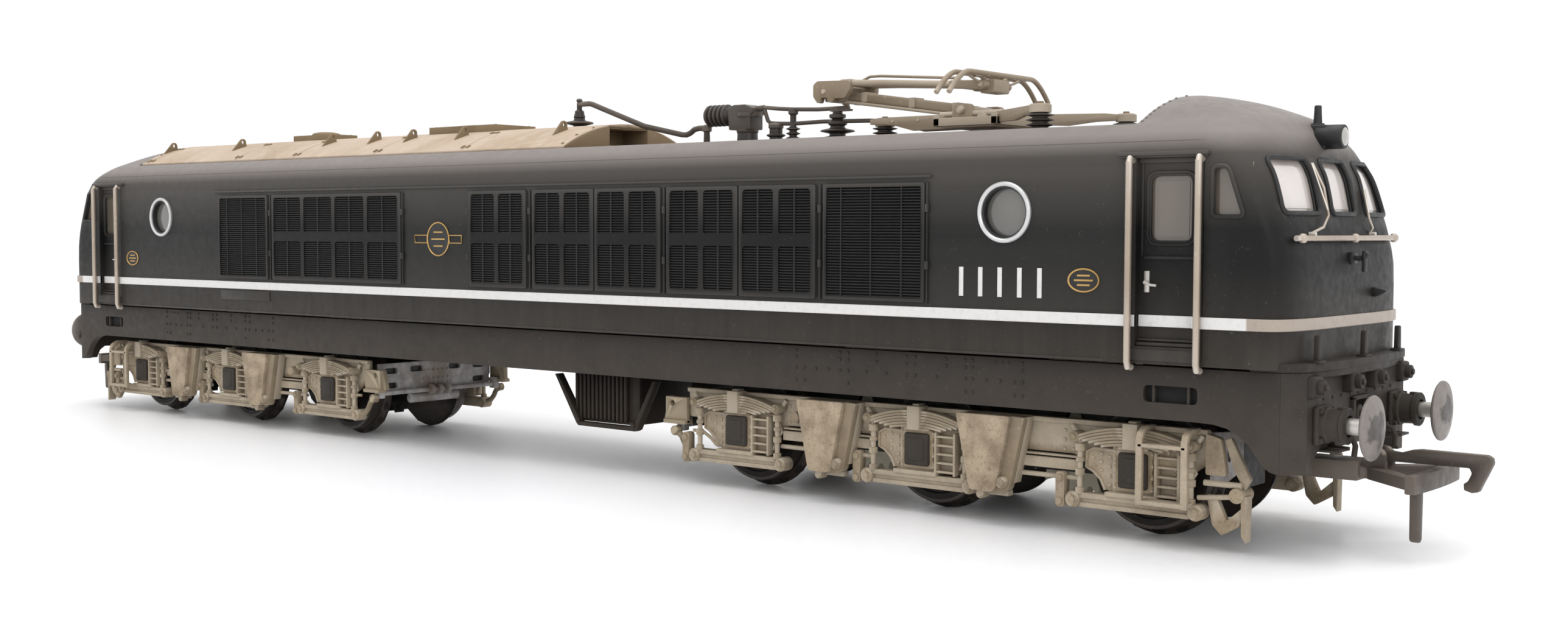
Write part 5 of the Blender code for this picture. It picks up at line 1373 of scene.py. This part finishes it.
def make_coupling(place, end):
    """Swinging coupling frame and the hook hinged on it."""
    bar = Piece()
    bar.box((121.6, -1.6, 8.0), (129.5, 1.6, 9.35), 0.15)
    bar.box((121.5, -2.1, 7.7), (127.9, 2.1, 9.95), 0.22)
    bar.box((120.9, -1.1, 8.0), (122.0, 1.1, 9.35), 0.1)
    bar.lathe([(0.95, 8.0), (1.9, 8.0), (1.95, 8.1), (1.95, 9.3), (1.9, 9.4), (0.95, 9.4), (0.95, 8.0)],
              (COUPLING_PIVOT_X, 0, 0), UP)
    for way in (-1, 1):
        arm = [(128.9, way * 0.9), (128.9, way * 2.0), (135.0, way * 7.45), (135.6, way * 6.2),
               (130.6, way * 0.9)]
        bar.prism(arm, "Z", 8.0, 9.35, 0.12)
        bar.prism(rounded([(128.5, 9.2), (130.8, 9.2), (130.8, 10.9), (130.1, 11.6), (129.1, 11.6),
                           (128.5, 10.9)],
                          0.4), "Y", way * 1.3 - 0.42, way * 1.3 + 0.42, 0.08)
    face = [(136.45 - 0.35 * (y / 7.5) ** 2, y) for y in spread(-7.5, 7.5, 20)]
    bar.prism(face + [(x - 1.25, y) for x, y in reversed(face)], "Z", 7.55, 9.65, 0.18)
    bar.pin(129.6, 10.7, -1.75, -0.86, 0.38, sides=16)
    bar.pin(129.6, 10.7, 0.86, 1.75, 0.38, sides=16)
    bar.prism(rounded([(-6.25, 8.6), (-4.75, 8.6), (-4.95, 2.4), (-5.5, 2.1), (-6.1, 2.4)], 0.3), "X",
              135.0, 136.1, 0.2)
    bar.finish(f"{place}_coupling_frame", "coupling_metal", COUPLING, (end, 1), f"{place}_coupling",
               covers=f"{place}_coupling_bar")

    hook = Piece()
    outline = [(128.95, 10.25), (129.3, 10.05), (139.5, 10.05), (139.75, 9.5), (139.35, 8.6), (138.9, 8.3),
               (138.95, 7.6), (139.8, 7.35), (140.5, 7.5), (141.95, 10.7), (141.85, 11.3), (141.3, 11.6),
               (134.2, 11.65), (133.2, 11.5), (132.0, 11.1), (129.3, 11.35), (128.95, 11.1)]
    hook.prism(outline, "Y", -0.55, 0.55, 0.14)
    hook.finish(f"{place}_hook_plate", "coupling_metal", COUPLING, (end, 1), f"{place}_hook",
                covers=f"{place}_coupling_hook")


make_skirt()
for place, end in ENDS:
    make_beam(place, end)
    make_coupling(place, end)
    for which, side in SIDES:
        make_buffer(place, end, which, side)


# ---------------------------------------------------------------- bogie sides and ends
BOGIE_X = 76.5
AXLES = (46.5, 76.5, 106.5)
AXLE_Z = 8.3
LINK_OFFSETS = (-13.6, 11.4)
RIB_LEVELS = (5.55, 6.65, 7.75, 8.85, 9.95)


def file_on_side(piece, name, material, place, which, covers=None):
    """File a piece on one side of one bogie."""
    flip = (dict(ENDS)[place], dict(SIDES)[which])
    piece.finish(f"{place}_{which}_{name}", "bogie_paint", material, flip, f"{place}_bogie", covers)


def leaf(x, half, top, drop, thick, steps=14):
    """Outline of one bent spring leaf in the X-Z plane."""
    upper = [(x + v, top - drop * (v / 7.4) ** 2) for v in spread(-half, half, steps)]
    lower = [(a, b - thick) for a, b in reversed(upper)]
    return upper + lower


def make_springs(place, which):
    """Leaf springs over the three axles, with their buckles, eyes and hangers."""
    springs = Piece()
    for x in AXLES:
        for number, half in enumerate((7.2, 7.0, 6.3, 5.5, 4.7, 3.9)):
            face = 15.25 - 0.07 * (number % 2)
            springs.prism(leaf(x, half, 13.25 - 0.37 * number, 1.45, 0.33), "Y", 13.7, face, 0.04, 1)
        springs.box((x - 0.95, 13.5, 10.75), (x + 0.95, 15.62, 13.75), 0.13)
        springs.box((x - 0.5, 13.6, 13.6), (x + 0.5, 15.0, 14.0), 0.1)
        for way in (-1, 1):
            eye_x = x + way * 7.35
            springs.pin(eye_x, 11.75, 13.5, 15.4, 0.62, sides=24, bevel=0.06)
            springs.pin(eye_x, 11.75, 15.3, 15.7, 0.34, sides=16, bevel=0.05)
            springs.rod((eye_x, 13.9, 11.75), (eye_x + way * 0.9, 13.9, 12.9), 0.3, sides=12)
    file_on_side(springs, "leaf_springs", SPRING, place, which)


def make_side_plate(place, which, lean):
    """Frame plate with its axle guards, and the rods, bars and hangers hung on it."""
    frame_plate = Piece()
    outline = [(36.6, 13.55), (36.6, 9.4)]
    for x in AXLES:
        outline += [(x - 8.2, 9.4), (x - 6.6, 8.3), (x - 5.2, 7.4), (x - 4.4, 5.9), (x + 4.4, 5.9),
                    (x + 5.2, 7.4), (x + 6.6, 8.3), (x + 8.2, 9.4)]
    outline += [(115.2, 9.4), (115.2, 13.55)]
    frame_plate.prism(rounded(outline, 0.5, 3), "Y", 12.6, 13.25, 0.06)
    frame_plate.box((36.6, 13.1, 12.95), (115.2, 13.75, 13.55), 0.1)
    for first, second in zip(AXLES, AXLES[1:]):
        frame_plate.box((first + 7.6, 12.9, 7.5), (second - 7.6, 13.85, 8.75), 0.08)
        frame_plate.box((first + 7.6, 12.9, 8.95), (second - 7.6, 13.7, 9.2), 0.05)
        frame_plate.rod((first + 7.2, 13.6, 6.6), (second - 7.2, 13.6, 6.6), 0.3, sides=12)
        middle = (first + second) / 2
        frame_plate.pin(middle - 4.6, 10.8, 13.2, 15.0, 0.75, sides=24, bevel=0.1)
        for step in (-6.6, -5.4, 5.4, 6.6):
            for z in (9.9, 11.0, 12.1):
                frame_plate.rivet((middle + step, 13.25, z), OUTWARD, 0.24, 0.2)
    for x in AXLES:
        for way in (-1, 1):
            at = x + way * 7.0
            frame_plate.rod((at, 14.3, 4.7), (at, 14.3, 11.4), 0.34, sides=16)
            for low, high, radius in ((10.0, 10.9, 0.62), (8.7, 9.2, 0.5), (7.1, 7.9, 0.56),
                                      (4.9, 5.7, 0.55)):
                frame_plate.rod((at, 14.3, low), (at, 14.3, high), radius, sides=20, bevel=0.08)
            end_at = x + way * 7.75
            frame_plate.pin(end_at, 4.25, 12.9, 14.85, 0.95, sides=28, bevel=0.1)
            frame_plate.pin(end_at, 4.25, 14.8, 15.15, 0.48, sides=6, bevel=0.05)
        frame_plate.box((x - 7.7, 13.0, 3.4), (x + 7.7, 14.3, 5.1), 0.1)
        for low, high in ((3.4, 3.95), (4.45, 5.1)):
            frame_plate.box((x - 6.9, 14.2, low), (x + 6.9, 14.6, high), 0.08)
        link_x = x - lean * 9.6
        frame_plate.prism(rounded(rectangle(link_x - 0.6, link_x + 0.6, 3.1, 7.3), 0.5), "Y", 13.2, 14.5,
                          0.08)
        frame_plate.box((link_x - 0.55, 13.2, 3.3), (x - lean * 7.2, 13.7, 4.0), 0.08)
        for z in (3.8, 6.6):
            frame_plate.pin(link_x, z, 14.4, 14.85, 0.42, sides=16, bevel=0.06)
    file_on_side(frame_plate, "side_plate", KHAKI, place, which, f"{place}_bogie_{which}_side")


def make_axleboxes(place, which, lean):
    """Axleboxes with a ribbed plate and a riveted bracket beside each, and dark covers."""
    boxes = Piece()
    covers = Piece()
    for x in AXLES:
        boxes.box((x - 2.9, 12.7, 5.5), (x + 2.9, 14.1, 10.95), 0.15)
        edge = [(2.25 + 0.28 * (k % 2), 5.8 + 4.9 * k / 8) for k in range(9)]
        scallops = [(x + a, z) for a, z in edge] + [(x - a, z) for a, z in reversed(edge)]
        boxes.prism(rounded(scallops, 0.2, 2), "Y", 14.0, 14.45, 0.06)
        boxes.box((x - 3.5, 12.9, 5.0), (x + 3.0, 14.9, 5.55), 0.1)
        boxes.box((x - 1.9, 14.1, 10.6), (x + 1.9, 14.8, 11.05), 0.1)
        for z in (6.1, 7.5, 8.9, 10.3):
            for way in (-1, 1):
                boxes.rivet((x + way * 2.35, 14.4, z), OUTWARD, 0.2, 0.2)
        near, far = sorted((x + lean * 2.8, x + lean * 5.9))
        boxes.box((near, 12.8, 5.3), (far, 13.75, 10.9), 0.08)
        for z in RIB_LEVELS:
            boxes.box((near, 13.6, z), (far - 0.1, 14.85, z + 0.26), 0.05)
        for z in RIB_LEVELS[:-1]:
            for lift in (0.42, 0.92):
                boxes.rivet((x + lean * 4.9, 13.75, z + lift), OUTWARD, 0.2, 0.24, 6)
        for at in (2.95, 5.75):
            boxes.box((x + lean * at - 0.16, 13.6, 5.3), (x + lean * at + 0.16, 14.95, 10.6), 0.05)
        bracket = [(2.5, 10.3), (5.4, 10.35), (6.3, 9.9), (6.4, 8.1), (5.5, 7.7), (4.5, 6.8), (3.9, 5.6),
                   (2.5, 5.5)]
        boxes.prism([(x - lean * a, z) for a, z in bracket], "Y", 13.0, 13.85, 0.08)
        rim = [(x - lean * a, 13.85, z) for a, z in bracket[:-1]]
        boxes.tube(rim, 0.2, 8)
        for a, z in ((3.3, 6.2), (3.3, 7.3), (3.3, 8.4), (3.3, 9.5), (4.4, 7.9), (4.4, 8.9), (4.4, 9.8),
                     (5.5, 9.3)):
            boxes.rivet((x - lean * a, 13.85, z), OUTWARD, 0.22, 0.22)
        boxes.tube([(x + lean * 6.0, 13.6, 9.4), (x + lean * 6.9, 13.7, 9.5), (x + lean * 7.4, 13.8, 8.6),
                    (x + lean * 6.3, 13.8, 6.9), (x + lean * 5.9, 13.8, 6.0)], 0.22, 8)
        covers.box((x - 1.85, 14.3, 6.15), (x + 1.85, 14.95, 10.3), 0.4, 3)
        covers.box((x - 1.2, 14.85, 6.8), (x + 1.2, 15.05, 9.7), 0.12)
    file_on_side(boxes, "axleboxes", KHAKI, place, which)
    file_on_side(covers, "axlebox_covers", COVER, place, which)


def make_links(place, which, lean):
    """Speckled swing-link plates, each with a turned-back flange, pin boss and lower bolt."""
    plates = Piece()
    flanges = Piece()
    for offset in LINK_OFFSETS:
        x = BOGIE_X + lean * offset
        face = [(-4.45, 13.55), (3.2, 13.55), (1.35, 5.0), (0.9, 4.35), (0.2, 4.2), (-2.3, 4.3), (-2.55, 4.8)]
        plates.prism(rounded([(x + lean * a, z) for a, z in face], 0.4, 3), "Y", 15.5, 16.55, 0.1)
        plates.box((x - 4.2, 13.2, 12.6), (x + 4.2, 15.6, 13.5), 0.1)
        fold = [(3.0, 13.55), (4.9, 13.5), (3.1, 5.6), (2.7, 4.5), (1.6, 4.2), (0.7, 4.6)]
        flanges.prism(rounded([(x + lean * a, z) for a, z in fold], 0.4, 3), "Y", 14.6, 15.95, 0.12)
        flanges.prism([(x + lean * a, z) for a, z in ((4.55, 13.5), (4.95, 13.5), (3.2, 5.4), (2.8, 5.4))],
                      "Y", 13.6, 15.0, 0.06)
        boss_x = x + lean * 2.05
        flanges.pin(boss_x, 5.5, 15.7, 16.5, 0.8, 0.7, sides=28, bevel=0.1)
        flanges.pin(boss_x, 5.5, 16.4, 16.8, 0.42, sides=16, bevel=0.06)
        bolt_x = x - lean * 1.4
        flanges.pin(bolt_x, 3.75, 14.2, 15.6, 0.6, sides=20, bevel=0.08)
        flanges.box((bolt_x - 0.5, 13.4, 3.6), (bolt_x + 3.4, 14.6, 4.3), 0.1)
    file_on_side(plates, "swing_links", LINK_TAN, place, which)
    file_on_side(flanges, "swing_link_flanges", SPRING, place, which)


def make_side_ends(place, which):
    """Step hoop and guard irons at the outer end, bracket and fittings at the inner end."""
    irons = Piece()
    hoop = [(17.1, 4.8), (17.1, 12.2), (16.7, 13.1), (15.7, 13.7), (13.5, 13.75), (13.5, 13.15), (15.4, 13.1),
            (16.15, 12.7), (16.45, 12.0), (16.45, 4.8)]
    for x in (108.4, 113.9):
        irons.prism(hoop, "X", x - 0.4, x + 0.4, 0.1)
    irons.box((108.2, 15.3, 11.4), (114.1, 17.1, 11.85), 0.1)
    irons.box((108.2, 15.0, 4.9), (114.1, 17.2, 5.4), 0.1)
    irons.box((108.4, 14.2, 11.45), (109.2, 15.6, 11.8), 0.08)
    irons.prism(rounded([(115.2, 8.6), (117.6, 8.6), (117.6, 9.4), (117.0, 12.8), (115.2, 13.2)], 0.3), "Y",
                13.4, 14.3, 0.1)
    irons.prism([(117.2, 12.6), (118.0, 12.9), (120.3, 8.4), (119.6, 7.2), (118.4, 9.2)], "Y", 13.0, 13.8,
                0.1)
    irons.rod((115.0, 14.0, 7.7), (119.4, 14.0, 7.7), 0.35, sides=14)
    irons.pin(119.0, 6.6, 11.6, 14.7, 0.85, sides=24, bevel=0.12)
    irons.rod((114.2, 13.9, 5.9), (118.8, 13.9, 6.4), 0.3, sides=12)
    irons.prism(rounded([(115.2, 6.4), (116.4, 6.2), (117.6, 3.6), (119.6, 5.4), (119.2, 3.2), (117.0, 1.9),
                         (115.9, 3.0)], 0.25), "Y", 13.1, 13.9, 0.1)
    irons.prism([(119.4, 6.6), (120.1, 6.6), (120.0, 1.4), (119.5, 2.1)], "Y", 12.7, 14.3, 0.08)
    irons.prism(rounded([(108.6, 8.9), (113.4, 8.9), (113.4, 11.3), (108.6, 11.3)], 0.3), "Y", 13.8, 14.3,
                0.06)
    for x in (109.6, 110.8, 112.0, 112.9):
        irons.rivet((x, 14.3, 10.6), OUTWARD, 0.24, 0.2)
    file_on_side(irons, "step_and_guard_irons", KHAKI, place, which)

    bracket = Piece()
    bracket.box((32.7, 13.4, 8.4), (36.8, 14.1, 12.1), 0.1)
    drill = Piece()
    drill.pin(34.0, 11.2, 12, 16, 0.45, sides=20)
    bracket.cut(drill)
    bracket.box((32.6, 12.8, 8.3), (36.8, 14.5, 8.9), 0.1)
    bracket.prism([(32.7, 12.1), (33.3, 12.1), (33.3, 8.8), (31.9, 8.8)], "Y", 12.7, 13.5, 0.08)
    bracket.pin(34.6, 7.3, 13.3, 14.4, 0.7, sides=20, bevel=0.1)
    bracket.tube([(34.6, 13.8, 7.2), (35.6, 13.8, 6.6), (36.2, 13.8, 5.6), (37.0, 13.8, 4.8),
                  (38.4, 13.8, 4.4)],
                 0.45, 12)
    bracket.tube([(38.0, 13.9, 7.6), (40.0, 14.2, 7.6), (41.6, 14.3, 6.8), (42.4, 14.0, 5.8)], 0.24, 10)
    file_on_side(bracket, "inner_bracket", BRACKET, place, which)


def make_bogie_ends(place, end):
    """Silvered plates, tie rod and brake shaft between the two side frames."""
    holder = Piece()
    holder.box((35.5, -12.1, 8.0), (36.1, 12.1, 12.9), 0.06)
    cutter = Piece()
    for y, z in ((-9.6, 11.6), (-4.2, 11.7), (4.2, 11.7), (9.6, 11.6), (-9.6, 9.1), (9.6, 9.1)):
        cutter.prism(rectangle(y - 1.35, y + 1.35, z - 0.5, z + 0.5, 0.45), "X", 34, 38)
    holder.cut(cutter)
    for z in (9.0, 9.9, 11.3):
        for y in spread(-2.6, 2.6, 5):
            holder.rivet((35.5, y, z), (-1, 0, 0), 0.2, 0.18)
    holder.finish(f"{place}_inner_end_plate", "bogie_paint", SILVERED, (end, 1), f"{place}_bogie")

    holder = Piece()
    for way in (-1, 1):
        holder.prism([(way * y, z) for y,
                      z in ((4.6, 8.2), (4.6, 12.6), (12.4, 13.2), (12.4, 7.4), (9.5, 7.0))],
                     "X", 114.9, 115.5, 0.06)
    cutter = Piece()
    for way in (-1, 1):
        cutter.prism(ellipse(way * 8.6, 10.4, 0.6, 1.0, 20), "X", 113, 117)
    holder.cut(cutter)
    for way in (-1, 1):
        for y, z in ((5.6, 9.0), (5.6, 11.8), (11.4, 8.3), (11.4, 12.2)):
            holder.rivet((115.5, way * y, z), ALONG, 0.3, 0.2)
    holder.finish(f"{place}_outer_end_plate", "bogie_paint", SILVERED, (end, 1), f"{place}_bogie")

    rods = Piece()
    rods.pin(34.6, 8.0, -13.0, 13.0, 0.42, sides=16)
    for y in (-1.7, 0.0, 1.7):
        rods.pin(34.6, 8.0, y - 0.35, y + 0.35, 0.95, sides=24, bevel=0.12)
    rods.pin(36.2, 6.6, -5.2, 5.2, 0.85, sides=24, bevel=0.15)
    for way in (-1, 1):
        rods.box((34.0, way * 12.6 - 0.6, 7.2), (35.4, way * 12.6 + 0.6, 9.2), 0.15)
    rods.finish(f"{place}_tie_rod", "bogie_paint", SILVERED, (end, 1), f"{place}_bogie")


for place, end in ENDS:
    make_bogie_ends(place, end)
    for which, side in SIDES:
        make_springs(place, which)
        make_side_plate(place, which, end)
        make_axleboxes(place, which, end)
        make_links(place, which, end)
        make_side_ends(place, which)


# ---------------------------------------------------------------- wheels and equipment boxes
def make_wheels(place, end):
    """Disc faces and flanged tyres over the axles of one bogie."""
    for which, x in zip(("inner", "centre", "outer"), AXLES):
        faces = Piece()
        treads = Piece()
        for way in (-1, 1):
            faces.lathe([(0, 9.9), (6.9, 9.9), (6.95, 10.22), (6.2, 10.26), (6.05, 10.08), (5.7, 10.04),
                         (5.6, 10.16), (5.2, 10.18), (5.1, 10.04), (2.7, 10.04), (2.4, 10.4), (1.5, 10.5),
                         (1.3, 10.75), (0, 10.75)], (x, 0, AXLE_Z), (0, way, 0), 72)
            for k in range(6):
                a = math.pi / 3 * k
                faces.pin(x + 3.9 * math.cos(a), AXLE_Z + 3.9 * math.sin(a), way * 10.0, way * 10.2, 0.62,
                          sides=20, bevel=0.05)
            treads.lathe([(0, 7.14), (7.3, 7.14), (8.05, 7.2), (8.3, 7.4), (8.31, 7.6), (8.2, 7.8),
                          (7.75, 8.0), (7.44, 8.3), (7.39, 10.0), (7.3, 10.2), (6.9, 10.2), (6.9, 9.95),
                          (0, 9.95)],
                         (x, 0, AXLE_Z), (0, way, 0), 96)
        body = f"{place}_{which}_wheelset"
        faces.finish(f"{place}_{which}_wheel_faces", "wheel_metal", WHEEL, (end, 1), body)
        treads.finish(f"{place}_{which}_wheel_tyres", "wheel_metal", TYRE, (end, 1), body)


def make_box(which, side, inner_y):
    """Ribbed equipment box with a bent strap under it."""
    case = Piece()
    case.box((13.6, inner_y, 7.25), (26.4, 13.0, 14.65), 0.2)
    case.box((13.3, 12.6, 7.2), (25.0, 13.2, 7.8), 0.1)
    for x in spread(14.0, 24.2, 12):
        case.box((x - 0.26, 12.8, 7.6), (x + 0.26, 13.72, 14.6), 0.18, 3)
    case.box((24.9, 12.6, 7.0), (26.6, 13.1, 14.6), 0.12)
    case.finish(f"{which}_box_case", "underframe_paint", BOX_BLACK, (1, side))
    strap = Piece()
    legs = [(9.9, 14.0), (14.5, 6.9), (14.9, 6.55), (26.6, 6.5), (27.1, 6.75), (30.9, 14.0)]
    inner = [(a + 0.75 * (0.9 if k < 2 else -0.9 if k > 3 else 0.2), b + (0.1 if k in (0, 5) else 0.62))
             for k, (a, b) in enumerate(legs)]
    strap.prism(legs + inner[::-1], "Y", 13.0, 14.25, 0.1)
    for x, z in ((14.9, 7.4), (26.3, 7.4)):
        strap.pin(x, z, 13.2, 14.4, 0.42, sides=16, bevel=0.06)
    strap.finish(f"{which}_box_strap", "underframe_paint", BOX_BLACK, (1, side),
                 covers=f"{which}_equipment_box")


for place, end in ENDS:
    make_wheels(place, end)
make_box("right", -1, 1.5)
make_box("left", 1, 4.5)


# ---------------------------------------------------------------- CAD nodes that stay in sight
slot_of = {part["node"]: part["material_slot"] for part in frame["record"]["subparts"]}
for node_name, node in frame["nodes"].items():
    finish = CAD_FINISH.get(slot_of[node_name])
    if finish:
        node.data.materials.clear()
        node.data.materials.append(finish)

# ---------------------------------------------------------------- floor, light and camera
FLOOR_REACH = 3000
floor_piece = Piece()
floor_piece.box((-FLOOR_REACH, -FLOOR_REACH, -4.0), (FLOOR_REACH, FLOOR_REACH, -0.02), 0.5)
floor = floor_piece.object("studio_floor")
floor_shade = Shader("studio_floor_white", specular=0.3)
floor_shade.base((252, 252, 253))
floor_shade.layer((249, 249, 251), floor_shade.ramp(floor_shade.noise(0.01, 2), 0.4, 0.6))
floor.data.materials.append(floor_shade.done((0.35, 0.45)))

world = bpy.data.worlds.new("studio")
bpy.context.scene.world = world
world.use_nodes = True
sky = world.node_tree.nodes["Background"]
sky.inputs["Color"].default_value = (1.0, 1.0, 1.0, 1)
sky.inputs["Strength"].default_value = 1.03


def soft_light(name, spot, target, size, power):
    """Rectangular lamp that shines from a spot at a target."""
    """Rectangular lamp that looks at a target."""
    lamp = bpy.data.lights.new(name, "AREA")
    lamp.shape = "RECTANGLE"
    lamp.size, lamp.size_y = size
    lamp.energy = power
    holder = bpy.data.objects.new(name, lamp)
    holder.location = spot
    aim = Vector(target) - Vector(spot)
    holder.rotation_euler = aim.to_track_quat("-Z", "Y").to_euler()
    bpy.context.scene.collection.objects.link(holder)


soft_light("top_softbox", (0.05, -0.05, 0.75), (0, 0, 0.03), (0.9, 0.6), 3.0)
soft_light("front_softbox", (0.75, -0.45, 0.35), (0.08, 0, 0.03), (0.5, 0.4), 1.0)

FOCAL_PX = 2740.24
IMAGE_WIDTH_PX = 2576
SENSOR_MM = 36.0
YAW, PITCH, ROLL = 0.68229, 0.05181, 0.00258
CAMERA_AT = (195.34 * MM, -187.53 * MM, 35.70 * MM)

camera_data = bpy.data.cameras.new("camera")
camera_data.sensor_width = SENSOR_MM
camera_data.lens = SENSOR_MM * FOCAL_PX / IMAGE_WIDTH_PX
camera_data.clip_start = 0.01
camera_data.clip_end = 20
camera = bpy.data.objects.new("camera", camera_data)
bpy.context.scene.collection.objects.link(camera)
ahead = Vector((-math.sin(YAW) * math.cos(PITCH), math.cos(YAW) * math.cos(PITCH), -math.sin(PITCH)))
level_right = ahead.cross(Vector((0, 0, 1))).normalized()
level_up = level_right.cross(ahead)
right = level_right * math.cos(ROLL) + level_up * math.sin(ROLL)
up = level_up * math.cos(ROLL) - level_right * math.sin(ROLL)
frame_axes = Matrix((right, up, -ahead)).transposed().to_4x4()
camera.matrix_world = Matrix.Translation(CAMERA_AT) @ frame_axes
bpy.context.scene.camera = camera
bpy.context.scene.view_settings.view_transform = "Standard"
